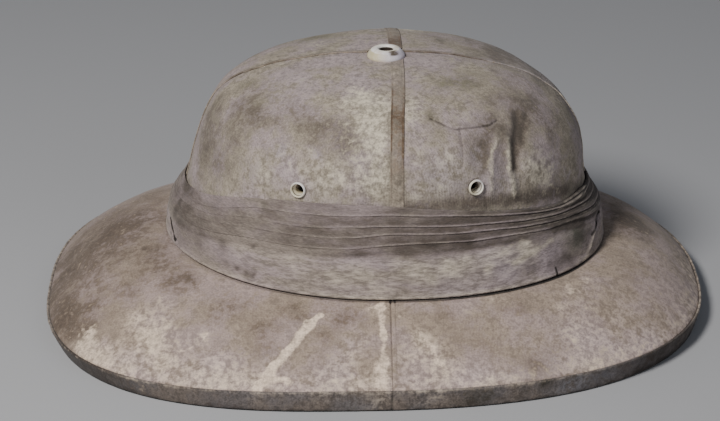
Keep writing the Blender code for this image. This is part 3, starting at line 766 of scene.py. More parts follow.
RIM_FRONT, RIM_REAR, RIM_SIDE = 191.9, 157.9, 142.2
RIM_WIDEST_X = -21.8
RIM_ROUND_FRONT, RIM_ROUND_REAR = 2.46, 2.68
FOOT_SHAPE = (118.5, 117.8, 93.2)
FOOT_ROUND_FRONT, FOOT_ROUND_REAR = 2.25, 2.10
BRIM_THICK = 10.0
BAND_THICK, FIT_GAP = 1.2, 0.3


def foot_ring(toward, height):
    """The oval on which the wound cloth stands on the brim."""
    roundness = np.where(np.cos(toward) > 0, FOOT_ROUND_FRONT, FOOT_ROUND_REAR)
    return oval(toward, *FOOT_SHAPE, roundness, height)


def rim_ring(toward, inset, height, top_edge=False):
    """The rim's lower edge, or its leaning top edge, moved inward by the inset."""
    out = by_direction(toward, 2.4, 3.6, 1.0) - inset if top_edge else -inset
    roundness = np.where(np.cos(toward) > 0, RIM_ROUND_FRONT, RIM_ROUND_REAR)
    ring = oval(toward, RIM_FRONT + out, RIM_REAR + out, RIM_SIDE + out, roundness, height)
    return ring + (RIM_WIDEST_X, 0.0, 0.0)


def edge_height(toward):
    """The height of the rim's top edge, which is bent up a little at the far front."""
    raised = 1.4 * bell(np.degrees(toward) - 38.0, 25.0)
    return by_direction(toward, 10.2, 7.6, 11.5) + raised


def at_rim(toward):
    """The rim's own angle for a line that runs out square across the brim."""
    return toward - 0.1117 * np.sin(toward)


def between(inner, outer, share, droop):
    """A ring at a share of the way out, on a slope that steepens toward the rim."""
    ring = inner + (outer - inner) * share
    ring[:, 2] = inner[:, 2] + (outer[:, 2] - inner[:, 2]) * share ** droop
    return ring


def faded(count, first, last):
    """1 for the middle ones of a count of rings, fading over the first and the last few."""
    ring = np.arange(count)[:, None]
    return fade(ring, 0, first) * fade(ring, count - 1, count - 1 - last)


brim_cloth = worn_cloth("brim_cloth", main=(162, 145, 130), blush=(167, 149, 143),
                        pale=(210, 191, 171), cool=(184, 166, 163), dirt_and_shade=(102, 88, 76),
                        moss=(128, 116, 97), mottle=0.85, frayed=1.1)

near_seam = np.linspace(-0.047, 0.047, 35)
turns = np.unique(np.concatenate([np.linspace(-np.pi, np.pi, 640, endpoint=False),
                                  near_seam + np.pi / 2, near_seam - np.pi / 2]).round(6))
rim_turns = at_rim(turns)
droop = by_direction(turns, 2.10, 2.10, 1.12)
foot = foot_height(turns)
root_ring, edge = foot_ring(turns, foot), rim_ring(rim_turns, 1.5, edge_height(rim_turns), True)
shares = np.concatenate([[0, 0.006, 0.013, 0.020], np.linspace(0.028, 0.95, 54),
                         np.linspace(0.956, 1, 9)])
tuck = crown_ring(turns, foot, FIT_GAP)
top = np.stack([tuck, (tuck + root_ring) / 2]
               + [between(root_ring, edge, share, droop) for share in shares])
top[-4:, :, 2] -= np.array([0.02, 0.10, 0.25, 0.55])[:, None]
wear = 0.55 * waves(top, 55.0, 2.0) + 0.25 * waves(top, 17.0, 8.0) + 0.10 * waves(top, 5.0, 5.0)
lap_x = 0.4 - 0.3 * fade(np.abs(top[..., 1]), 94.5, 142.5)
beside = np.abs(top[..., 1]) > 60
off_seam = top[..., 0] - lap_x
stitches = 0.6 + 0.4 * np.sin(np.abs(top[..., 1]) / STITCH * 2 * np.pi)
wear += beside * (-0.55 * bell(off_seam, 0.40) - 0.30 * stitches * bell(off_seam - 2.8, 0.40)
                  + 0.30 * (off_seam > 0) * np.exp(-(off_seam / 3.4) ** 6))
wear *= faded(len(top), 9, 4)
facing = outward(top)
top += facing * wear[..., None] * np.sign(facing[..., 2:3])

under_droop = by_direction(turns, 1.85, 1.85, 1.08)
lift = BAND_THICK + FIT_GAP
low = foot_ring(turns, foot - BRIM_THICK)
flat = rim_ring(rim_turns, lift + 7.0, lift)
under = np.stack([rim_ring(rim_turns, lift, lift)]
                 + [between(low, flat, share, under_droop) for share in np.linspace(1, 0, 22)]
                 + [crown_ring(turns, foot - BRIM_THICK, FIT_GAP)])
under[4:-2, :, 2] += 0.3 * waves(under[4:-2], 40.0, 6.0)
brim_rings = np.concatenate([top, under])
shift = drifted(top)
outer = np.concatenate([[0.0, 0.0], shares])[:, None]
near_rim = fade(outer, 0.78, 0.94) * fade(top[..., 0], -174, -158) * (top[..., 1] < 20)
foot_shade = fade(np.linalg.norm(top - root_ring, axis=-1), 1.9, 1.1)
paints = {
    "bare": strokes(top, (
        (1.7, 0.95, (-35.5, -100.6, 34.7), (-41.5, -106.5, 31.5)),
        (1.1, 0.6, (-41.2, -105.2, 32.2), (-43.8, -103.2, 33.2)),
        (2.8, 1.0, (-41.0, -106.0, 31.8), (-48.2, -115.4, 26.8), (-54.3, -122.5, 22.4),
         (-59.9, -129.2, 18.0), (-65.0, -135.2, 14.2), (-68.5, -139.3, 11.3)),
        (3.0, 0.66, (-62.0, -134.0, 15.0), (-55.0, -136.0, 14.6), (-51.0, -137.0, 14.0)),
        (2.6, 0.6, (-4.0, -94.5, 38.5), (-4.2, -107.6, 31.7), (-4.2, -112.6, 29.0)),
        (2.2, 0.5, (-4.3, -97.5, 37.2), (-11.0, -97.5, 37.0)),
        (2.2, 0.5, (-3.6, -112.6, 29.0), (-3.6, -126.0, 21.2)),
        (4.6, 0.66, (-5.2, -129.0, 19.5), (-5.4, -141.2, 11.5)),
        (2.6, 0.55, (17.5, -115.0, 27.5), (21.5, -122.0, 23.0), (25.5, -129.0, 18.6)),
        (1.8, 0.4, (9.0, -104.0, 33.5), (12.5, -109.0, 30.8)),
        (1.7, 0.42, (-93.1, -107.2, 27.4), (-102.1, -113.1, 22.4), (-112.2, -118.0, 17.6)),
    ), 1.2),
    "pale": 0.32 * near_rim + blots(shift, (
        (-131, -87, 27, 7.5, 0.4), (-119, -103, 24, 6.5, 0.45), (-159, -85, 14, 6.5, 0.35),
        (-148, -100, 13, 6.5, 0.4), (-137, -114, 12, 5.4, 0.45), (-97, -108, 26, 4.3, 0.5),
        (-116, -81, 34, 5.4, 0.3), (-77, -103, 31, 4.3, 0.25), (-20, -123, 22, 6.5, 0.4),
        (-15, -114, 28, 4.3, 0.35), (-7, -98, 36, 4.3, 0.6), (-8, -136, 15, 5.4, 0.7),
        (-19, -138, 14, 4.3, 0.45), (4, -103, 34, 2.7, 0.4), (16, -114, 28, 4.5, 0.3),
        (25, -128, 19, 5, 0.35), (94, -106, 23, 12, 0.25), (35, -128, 18, 5.4, 0.3),
        (96, -78, 36, 5, 0.45), (104, -67, 38, 4, 0.45), (89, -90, 33, 4.3, 0.3),
        (54, -89, 38, 4.3, 0.35), (20, -101, 35, 5, 0.3), (40, -97, 35, 5, 0.3),
        (-30, -132, 18, 9, 0.3), (10, -125, 21, 8, 0.25), (-122, -98, 23, 14, 0.48),
        (-155, -90, 14, 8, 0.35), (-90, -128, 15, 14, 0.4), (-72, -132, 14, 12, 0.15),
        (-150, -107, 8, 9, 0.3), (20, -119, 24, 12, 0.4), (110, -90, 28, 24, 0.25),
        (168, -5, 18, 12, 0.3), (-159, -96, 9, 7, 0.4), (-123, -106, 21, 7, 0.4),
        (-112, -115, 19, 7, 0.35), (-115, -119, 16, 6, 0.3), (-61, -135, 14, 7, 0.2),
        (15, -116, 27, 5, 0.35), (49, -138, 11, 8, 0.35), (106, -119, 10, 8, 0.25),
        (26, -131, 15, 6, 0.3), (150, 40, 18, 30, 0.3), (-140, 60, 18, 34, 0.35),
        (0, 130, 18, 30, 0.35), (-60, 120, 20, 26, 0.3), (80, 110, 22, 26, 0.3))),
    "cool": 0.42 * near_rim + blots(shift, all_round((
        (94, -106, 23, 14, 0.5), (111, -104, 18, 12, 0.45), (76, -120, 18, 12, 0.45),
        (134, -94, 13, 10, 0.4), (-90, -124, 17, 13, 0.5), (-62, -124, 21, 10, 0.4),
        (-28, -130, 19, 11, 0.5), (42, -130, 16, 11, 0.45), (5, -128, 20, 9, 0.4),
        (-130, -108, 17, 12, 0.35), (125, -80, 27, 14, 0.3), (-20, -116, 26, 8, 0.4)))),
    "dirt_and_shade": blots(shift, all_round((
        (-129, -30, 42, 2.2, 0.6), (-176, -6, 15, 6.5, 0.35), (-179, -28, 10, 3.2, 0.45),
        (-169, 16, 20, 7.5, 0.35), (-153, 4, 34, 12, 0.3), (-154, -63, 24, 8, 0.3),
        (-136, -54, 36, 8, 0.1), (-121, -47, 41, 7, 0.3), (-91, -88, 36, 10, 0.38),
        (-103, -72, 40, 8, 0.35), (-77, -94, 35, 9, 0.38), (-66, -108, 30, 9, 0.45),
        (-51, -96, 36, 6, 0.4), (-62, -118, 24, 6, 0.3), (-33, -112, 29, 7, 0.5),
        (-24, -104, 33, 6, 0.45), (-37, -125, 21, 5, 0.35), (-70, -122, 22, 4.3, 0.25),
        (-84, -114, 25, 6, 0.3), (-100, -99, 30, 5, 0.25), (-142, -92, 20, 4.3, 0.25),
        (-43, -105, 32, 1.5, 0.6), (-169, -12, 21, 1.2, 0.9), (-174, -58, 10, 3, 0.4),
        (-168, -74, 11, 4, 0.35), (11, -101, 35, 4.3, 0.25), (36, -115, 26, 8, 0.38),
        (23, -101, 34, 5, 0.3), (60, -97, 34, 7, 0.35), (70, -92, 35, 7, 0.35),
        (48, -121, 22, 7, 0.3), (84, -99, 29, 6, 0.25), (106, -88, 29, 6, 0.25),
        (113, -82, 30, 6, 0.3), (141, -79, 18, 5, 0.25), (129, -57, 34, 9, 0.3),
        (119, -30, 40, 7, 0.2), (127, -45, 38, 7, 0.3), (163, -22, 18, 5, 0.4),
        (152, -69, 15, 4, 0.5), (146, -78, 15, 3, 0.6), (163, -39, 15, 4, 0.45),
        (123, -15, 40, 8, 0.4), (131, 16, 39, 9, 0.35), (-140, -20, 40, 24, 0.3),
        (-172, -25, 18, 26, 0.4), (-128, 8, 42, 18, 0.3), (-152, 35, 34, 26, 0.35),
        (-112, -67, 39, 9, 0.45), (-104, -64, 41, 7, 0.35), (-166, -68, 14, 9, 0.45),
        (-171, -55, 14, 9, 0.3), (-46, -103, 33, 6, 0.4), (-158, -80, 15, 7, 0.4),
        (80, -123, 15, 10, 0.3), (70, -127, 15, 9, 0.35), (86, -111, 21, 7, 0.25),
        (129, -97, 14, 6, 0.25), (-60, -100, 34, 20, 0.15))))
    + blots(shift, ((-30, -99, 36, 14, 0.3), (30, -99, 35, 14, 0.3), (-118, -50, 40, 12, 0.3),
                    (-172, -55, 14, 14, 0.35), (136, 3, 37, 12, 0.8), (-140, 6, 40, 12, 0.3),
                    (-150, 2, 35, 12, 0.3), (-170, -5, 20, 12, 0.2), (-120, -32, 43, 8, 0.35),
                    (-132, -66, 34, 8, 0.25), (-158, -82, 15, 8, 0.5), (-90, -99, 32, 7, 0.3),
                    (-16, -104, 33, 6, 0.3), (138, -12, 36, 9, 0.35), (143, 10, 35, 10, 0.5),
                    (138, 22, 37, 12, 0.35), (-176, -10, 12, 10, 0.2), (-178, 20, 12, 12, 0.4),
                    (-174, -45, 11, 8, 0.3), (110, -112, 13, 7, 0.25), (74, -127, 12, 8, 0.25)))
    + 0.36 * fade(top[..., 0], -85, -155) * fade(top[..., 1], -112, -62),
    "moss": blots(shift, all_round((
        (-46, -93, 37, 3.2, 0.4), (-108, -98, 29, 6, 0.35), (-76, -119, 23, 5, 0.3),
        (19, -109, 31, 5, 0.3), (64, -109, 27, 6, 0.3), (123, -15, 40, 8, 0.5),
        (131, 16, 39, 9, 0.5), (-152, 41, 31, 10, 0.35), (-85, -95, 34, 18, 0.25),
        (112, -35, 40, 12, 0.35)))),
    "dark": beside * (0.6 * bell(off_seam, 0.55) + 0.36 * bell(off_seam - 2.2, 0.5))
    + foot_shade * np.interp(top[..., 0], (-105, -60, 0, 40, 100, 124),
                             (0.3, 0.5, 0.6, 0.8, 0.9, 0.3))
    + strokes(top, ((1.2, 0.6, (-43.4, -104.6, 32.6), (-42.2, -105.6, 32.0)),
                    (1.0, 0.5, (-169.4, -11.2, 21.8), (-168.6, -13.0, 21.6)))),
}
brim = ring_mesh("brim_cover", brim_rings, (brim_cloth,), paints,
                 woven(brim_rings[..., 0], brim_rings[..., 1]), closed=True, turned=True)
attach(brim, "root")
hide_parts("brim")


# ---- Rim binding -------------------------------------------------------------------------------
# A darker strip of cotton round the rim's edge, turned under it and stitched; it takes the knocks,
# so it is rubbed along its upper edge, grey with handling, and darker in ragged patches below.
# Its two ends are painted darker as shade, and a painted contact shadow runs along the floor.

binding_cloth = worn_cloth("rim_binding_cloth", main=(112, 101, 93), blush=(104, 97, 95),
                           pale=(160, 147, 133), cool=(112, 112, 118), dirt_and_shade=(56, 47, 42),
                           moss=(56, 54, 43), mottle=1.2)

turns = np.linspace(-np.pi, np.pi, 900, endpoint=False)
height = edge_height(turns)
upper, lower = rim_ring(turns, 0.0, height - 0.7, True), rim_ring(turns, 0.0, 0.8)
binding = np.stack(
    [rim_ring(turns, inset, height - below, True)
     for inset, below in ((1.2, 0.25), (0.75, 0.02), (0.35, 0.0), (0.1, 0.3))]
    + [upper + (lower - upper) * share for share in np.linspace(0, 1, 15)]
    + [rim_ring(turns, inset, level)
       for inset, level in ((0.25, 0.25), (0.7, 0.05), (3.0, 0.0), (8.2, 0.0), (8.4, 0.6),
                            (8.2, 1.1), (1.3, 1.2))])
face = -outward(binding)
depth = np.zeros(len(binding))
depth[2:20] = np.sin(np.linspace(0.5, np.pi - 0.3, 18))
bulge = (0.30 * waves(binding, 9.0, 3.0) + 0.22 * waves(binding * (1, 1, 0.25), 3.2, 5.0)
         + 0.25 * waves(binding, 30.0))
binding += face * (bulge * depth[:, None])[..., None]
binding[..., 2] = np.maximum(binding[..., 2], 0.0)
shift = drifted(binding, 3.0)
ragged = waves(binding * (1, 1, 0.4), 5.0, 8.0)
low_edge = fade(binding[..., 2] - 2.0 * ragged, 3.6, 1.0)
row_number = np.arange(len(binding))[:, None]
top_edge = fade(np.abs(row_number - 3.5), 3.0, 0.0)
rubbed = fade(row_number, 8.5, 5.5) * fade(binding[..., 1], -72, -47)
# The binding's two ends, rear and ahead, are painted darker: painted shade.
rear = fade(binding[..., 0], -105, -150)
ahead = fade(binding[..., 0], 95, 140)
paints = {
    "pale": 0.4 * top_edge * (1 - ahead) * (1 - rubbed) + 0.62 * rubbed + blots(shift, (
        (-5, -143, 6, 7, 0.45), (-68, -140, 8, 5, 0.35), (20, -142, 7, 12, 0.3),
        (-30, -142, 7, 14, 0.25), (-125, -122, 8, 8, 0.25), (64, -138, 8, 6, 0.3))),
    "cool": blots(shift, ((95, -130, 6, 12, 0.5), (115, -120, 6, 12, 0.5), (130, -108, 7, 8, 0.4),
                          (-20, -143, 5, 16, 0.35))),
    # Dirt, and painted shade at both ends.
    "dirt_and_shade": (0.32 * low_edge + 0.75 * ahead + 0.8 * rear) * (1 - rubbed) + blots(shift, (
        (38, -141, 4, 7, 0.5), (50, -140, 3, 6, 0.3), (79, -134, 9, 5, 0.5),
        (-90, -135, 6, 14, 0.3), (-150, -90, 6, 20, 0.3), (0, 143, 6, 30, 0.4),
        (160, 40, 7, 30, 0.3))),
    "moss": blots(shift, ((38, -141, 4, 7, 0.6), (50, -140, 4, 7, 0.5), (79, -134, 8, 5, 0.8),
                          (-20, -142, 3, 9, 0.4))),
    # A painted contact shadow along the floor, painted shade at the front end, dark seam lines, and
    # a ragged darkening below.
    "dark": 0.35 * low_edge * (ragged > 0.0) + 0.9 * fade(binding[..., 2], 1.0, 0.2)
    + 0.45 * ahead * (0.6 + waves(binding, 6.0, 1.0)) * (1 - rubbed)
    + strokes(binding, ((0.6, 0.7, (0.1, -142.9, 12.5), (0.1, -143.2, 0.0)),
                        (0.6, 0.7, (0.1, 142.9, 12.5), (0.1, 143.2, 0.0))), 0.3),
}
threads = woven(lengths(binding[8], closed=True)[None, :], lengths(binding).mean(1)[:, None])
rim = ring_mesh("rim_binding", binding, (binding_cloth,), paints, threads,
                closed=True, turned=True)
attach(rim, "root")
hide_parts("edge_band")


# ---- Pagri -------------------------------------------------------------------------------------
# A long cotton cloth wound round the foot of the crown: one wide plain turn that stands on the
# brim, and four narrow folded turns above it that overlap like shingles. Between the folds it is
# darker with grime and painted shade, and the fold edges have painted highlights.

PAGRI_TOP = (                # degrees from the front, height
    (0, 70.3), (9, 70.5), (17, 73.0), (25, 73.3), (32, 73.3), (40, 74.8), (46.5, 76.8),
    (54, 79.2), (61, 81.3), (67, 83.3), (73, 85.0), (79, 86.4), (88, 88.6), (108, 88.8),
    (129, 85.8), (144, 80.2), (156, 75.8), (180, 73.0))
FOLD_EDGES = (               # lower edges of the four narrow turns, from the top one down
    ((0, 68.0), (12, 69.2), (24, 70.5), (36, 71.8), (44, 73.9), (51.6, 76.4), (58.5, 78.3),
     (65, 80.1), (71, 81.5), (82, 83.1), (88, 84.0), (101, 83.2), (115, 82.1), (131, 80.1),
     (150, 71.9), (180, 68.4)),
    ((0, 64.0), (12, 65.4), (24, 67.7), (36, 69.2), (47, 71.7), (60, 74.9), (76, 77.0),
     (91, 78.4), (101, 77.5), (115, 75.7), (131, 74.9), (151, 68.7), (180, 65.6)),
    ((0, 60.0), (12, 61.6), (26, 64.8), (37, 66.6), (48, 69.1), (61, 71.8), (76, 73.2),
     (91, 74.3), (100, 72.4), (114, 71.4), (130, 70.5), (150, 65.7), (180, 63.2)),
    ((0, 57.0), (12, 58.6), (21, 60.6), (33.5, 63.7), (43, 64.9), (55, 67.4), (66, 68.3),
     (91, 68.8), (100, 67.0), (114, 65.8), (129, 65.5), (148, 61.7), (180, 60.4)))
FOLD_STEP = (                # degrees to the left, how far a fold stands off the one below
    (-180, 0.35), (-150, 0.28), (-125, 0.25), (-110, 0.32), (-95, 0.5), (-80, 0.65),
    (-60, 0.8), (-40, 0.95), (-20, 0.95), (0, 0.85), (60, 0.7), (150, 0.5), (180, 0.35))
TOP_GAP = (                  # degrees to the left, how far the cloth's top stands off the crown
    (-180, 1.9), (-170, 1.8), (-163, 1.0), (-150, 0.5), (-100, 0.5), (-87, 0.7), (-60, 1.0),
    (-40, 1.2), (-20, 1.4), (0, 1.6), (90, 0.8), (150, 0.8), (180, 1.9))
SWELL = ((0, 0.0), (0.3, 0.9), (0.55, 0.9), (0.8, 0.3), (1.0, 0.0))     # share of height, swell
CROWN_FOOT = (113.5, 112.4, 89.7)       # the crown's reach where the cloth begins


def smooth_curve(table, where):
    """A smooth curve through a table's rows, level at both ends."""
    at, values = np.array(table).T
    slope = np.gradient(values, at)
    slope[0] = slope[-1] = 0.0
    return cubic(at, values, slope, where)


turns = np.cumsum(np.interp(np.linspace(-180, 180, 1101)[:-1], (-180, -165, -5, 5, 175, 180),
                            (0.5, 0.78, 0.62, 1.2, 1.2, 0.5)))
turns = np.radians(-180 + 360 * (turns - turns[0]) / (turns[-1] - turns[0] + 1.0))
signed = np.degrees(turns)
from_front = np.abs(signed)
waver = 0.25 * waves(foot_ring(turns, 60.0), 24.0, 7.0)
foot = foot_height(turns)
top_line = smooth_curve(PAGRI_TOP, from_front) + 0.5 * waver
lines = [smooth_curve(table, from_front) + waver for table in FOLD_EDGES]
step = np.interp(signed, *np.array(FOLD_STEP).T)
step *= 1 + 0.4 * waves(foot_ring(turns, 70.0), 16.0, 3.0)
top_gap = np.interp(signed, *np.array(TOP_GAP).T)
foot_off = by_direction(turns, *[a - b for a, b in zip(FOOT_SHAPE, CROWN_FOOT)])


def wound(height, further):
    """A ring on the pagri at a height, further out than its plain swelling surface."""
    share = fade(height, foot, top_line)
    upper = fade(share, 0.5, 1.0)
    rise = upper ** 2 * (3 - 2 * upper)
    flare = 0.8 * np.exp(-np.maximum(height - foot, 0.0) / 3.0)
    off = foot_off * (1 - rise) + top_gap * rise + smooth_curve(SWELL, share) + flare + further
    ring = crown_ring(turns, height, np.maximum(off, 0.35))
    base = crown_ring(turns, foot, foot_off)
    ring[:, :2] += (foot_ring(turns, foot) - base)[:, :2] * ((1 - share) ** 1.5)[:, None]
    return ring


pagri_cloth = worn_cloth("pagri_cloth", main=(154, 142, 132), blush=(154, 140, 139),
                         pale=(190, 178, 162), cool=(164, 150, 153), dirt_and_shade=(78, 69, 63),
                         moss=(94, 92, 80), along=(0.5, 0.5, 1.7), frayed=0.5)


def pagri_paint(points, grime_and_shade, edge_highlight, edge_shade):
    """Worn and grimy places of the wound cloth, with painted highlights on its fold edges and
    painted shade under them.
    """
    shift = drifted(points)
    streak = waves(points * (0.35, 0.35, 1.0), 4.0, 2.0)
    return {
        "pale": edge_highlight + (1 - np.clip(grime_and_shade, 0, 1)) * blots(shift, all_round((
            (16, -93, 54, 5.4, 0.5), (5, -93, 60, 5.4, 0.35), (37, -90, 54, 7.5, 0.35),
            (70, -75, 60, 5.4, 0.4), (56, -82, 61, 5.4, 0.35), (27, -91, 60, 6.5, 0.35),
            (-46, -86, 53, 6, 0.35), (-30, -90, 50, 8, 0.4), (-13, -93, 53, 8, 0.4),
            (-5, -93, 45, 6, 0.4), (21, -93, 50, 4, 0.5), (-51, -84, 57, 4.3, 0.3),
            (-77, -71, 55, 5.4, 0.25), (41, -88, 58, 4.3, 0.3), (-20, -92, 47, 12, 0.25),
            (50, -84, 50, 8, 0.2), (25, -92, 50, 24, 0.2), (65, -78, 52, 16, 0.2),
            (51, -86, 57, 5, 0.25), (51, -87, 52, 3.5, 0.5), (30, -92, 54, 6, 0.4),
            (8, -94, 53, 6, 0.4), (73, -74, 59, 7, 0.4), (62, -81, 57, 6, 0.3))))
        + strokes(points, [(1.8, 0.5, (85.6, -64.2, 59.1), (75.5, -73.0, 56.8),
                            (65.2, -79.8, 53.1))]),
        "cool": blots(shift, all_round((
            (30, -91, 48, 18, 0.6), (-20, -92, 56, 12, 0.35), (60, -81, 52, 16, 0.8),
            (85, -66, 52, 14, 0.7)))),
        "dirt_and_shade": np.clip(grime_and_shade * (1 + 0.3 * streak), 0, 1.2)
        + strokes(points, ((4.0, 0.62, (60, -81.0, 61.5), (74, -72.5, 60.5), (84, -65.0, 59.5)),
                           (3.5, 0.5, (88, -60.0, 66.0), (95, -55.0, 65.0), (104, -45.0, 64.0)),
                           (2.6, 0.5, (88, -61.0, 62.5), (96, -54.0, 61.5), (105, -43.0, 61.0)),
                           (2.0, 0.3, (18, -92.5, 70.5), (30, -91.0, 70.5),
                            (42, -88.0, 70.0))), 2.0)
        + blots(shift, all_round((
            (-95, -50, 55, 26, 0.36), (-74, -74, 47, 2.8, 0.7), (-79, -71, 48, 2.4, 0.6),
            (-70, -76, 47, 2.4, 0.6), (-111, -24, 63, 4, 0.4), (-70, -74, 62, 2, 0.5),
            (-86, -64, 57, 3.5, 0.35), (-85, -66, 49, 3.5, 0.3), (-98, -52, 54, 5, 0.25),
            (9, -93, 50, 4.3, 0.3), (101, -47, 55, 12, 0.5), (108, -38, 49, 8, 0.35),
            (77, -74, 50, 5, 0.4), (86, -68, 48, 4.3, 0.45), (96, -58, 46, 4.3, 0.4),
            (21, -92, 46, 6.5, 0.3), (52, -86, 47, 6.5, 0.25), (70, -78, 47, 5.4, 0.35),
            (110, -30, 60, 8, 0.3), (30, -93, 46, 4, 0.3), (8, -94, 43, 4, 0.3),
            (-19, -93, 51, 5, 0.3), (91, -62, 46, 7, 0.6), (-108, -32, 52, 12, 0.35),
            (-107, -18, 77, 9, 0.5)))),
        "moss": blots(shift, all_round((
            (-41, -87, 64, 6, 0.35), (-72, -75, 45, 4, 0.5), (-65, -72, 82, 5, 0.5),
            (101, -48, 58, 8, 0.6), (-28, -87, 84, 6.5, 0.35), (47, -79, 84, 6.5, 0.4),
            (-112, -25, 60, 10, 0.35), (80, -65, 72, 16, 0.3), (98, -50, 58, 12, 0.5)))),
        # The dark slit of a small tear and the gaps where the cloth lifts: painted shade.
        "dark": edge_shade + strokes(points, (
            (0.9, 1.0, (87.8, -66.6, 44.2), (88.4, -67.1, 41.5), (88.8, -68.4, 39.3)),
            (1.1, 1.0, (-114.9, -18.9, 53.7), (-113.8, -23.1, 50.3), (-111.8, -30.2, 46.4)),
            (1.1, 0.9, (115.4, -19.6, 55.8), (113.3, -27.1, 55.0), (112.0, -30.0, 52.1),
             (109.8, -38.7, 51.3)))),
    }


def wound_mesh(name, rows, heights, paints):
    """One turn of the cloth, woven along its length and by its heights."""
    threads = woven(lengths(rows[1], closed=True)[None, :], np.stack(heights))
    return ring_mesh(name, rows, (pagri_cloth,), paints, threads, closed=True)


# The wide turn: its rolled lower edge, the plain face, and the part that goes up under the folds.
face_top = lines[3] + 2.2
heights = [foot - 0.1, foot + 0.8, foot + 0.9, foot + 1.2, foot + 2.0]
offs = [-2.0, -1.6, -0.5, 0.1, 0.2]
for share in np.linspace(0.06, 1.0, 34):
    heights.append(foot + 2.0 + (face_top - foot - 2.0) * share)
    offs.append(-0.5 * step * fade(share, 0.55, 0.85))
heights += [face_top + 0.1, face_top - 2.0, foot + (face_top - foot) * 0.5, foot + 1.2]
offs += [-1.2 - 0.5 * step, -1.3 - 0.5 * step, -1.2, -1.0]
rows = np.stack([wound(height, off) for height, off in zip(heights, offs)])
face = outward(rows)
middle = np.zeros((len(rows), 1))
middle[4:39] = faded(35, 4, 4)
wrinkle = (0.45 * waves(rows, 28.0, 2.0) + 0.22 * waves(rows * (0.4, 0.4, 1), 5.0, 6.0)
           + 0.1 * waves(rows, 4.0))
soft_line = np.stack([h - (lines[3] - 4.5) for h in heights])
wrinkle -= 0.35 * bell(soft_line, 1.2) * (signed > -140)
lip = strokes(rows, ((1.1, 1.0, (103.6, -51.2, 41.2), (106.3, -46.4, 43.1), (108.4, -42.4, 46.9),
                      (110.9, -34.4, 51.4)),))
gap = strokes(rows, ((1.0, 1.0, (115.4, -19.6, 55.8), (113.3, -27.1, 55.0), (112.0, -30.0, 52.1)),
                     (0.9, 1.0, (-114.9, -18.9, 53.7), (-113.8, -23.1, 50.3),
                      (-111.8, -30.2, 46.4))))
wrinkle += 1.0 * lip - 1.6 * gap
rows += face * (wrinkle * middle)[..., None]
under_fold = np.stack([h - lines[3] for h in heights])
fades_by = np.interp(rows[..., 0], (-60, -40, -20, 8, 30, 51, 73, 90),
                     (6.0, 6.5, 7.0, 10.0, 9.0, 6.5, 4.0, 3.0))
# Grime and painted shade under the folds, heaviest toward the front right.
soiled_and_shaded = np.interp(signed, (-180, -150, -130, -115, -102, -85, -72, -60, -47, -32, 0, 60, 180),
                   (0.4, 0.25, 0.32, 0.42, 0.62, 0.76, 0.84, 0.7, 0.56, 0.6, 0.6, 0.5, 0.4))
grime_and_shade = soiled_and_shaded * fade(under_fold, -fades_by, -0.5 * fades_by)
hem = np.stack([h - foot for h in heights])
# Painted highlights on the rolled lower edge and on the lip at the cloth's end.
highlight = 0.5 * bell(hem - 1.8, 0.7) + 0.6 * lip
# Painted shade: a dark line along the foot, and in the gaps where the cloth lifts.
dark = fade(hem, 1.1, 0.8) + 0.8 * gap
wide_turn = wound_mesh("pagri_wide_turn", rows, heights, pagri_paint(rows, grime_and_shade, highlight, dark))
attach(wide_turn, "root")
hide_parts("pagri")

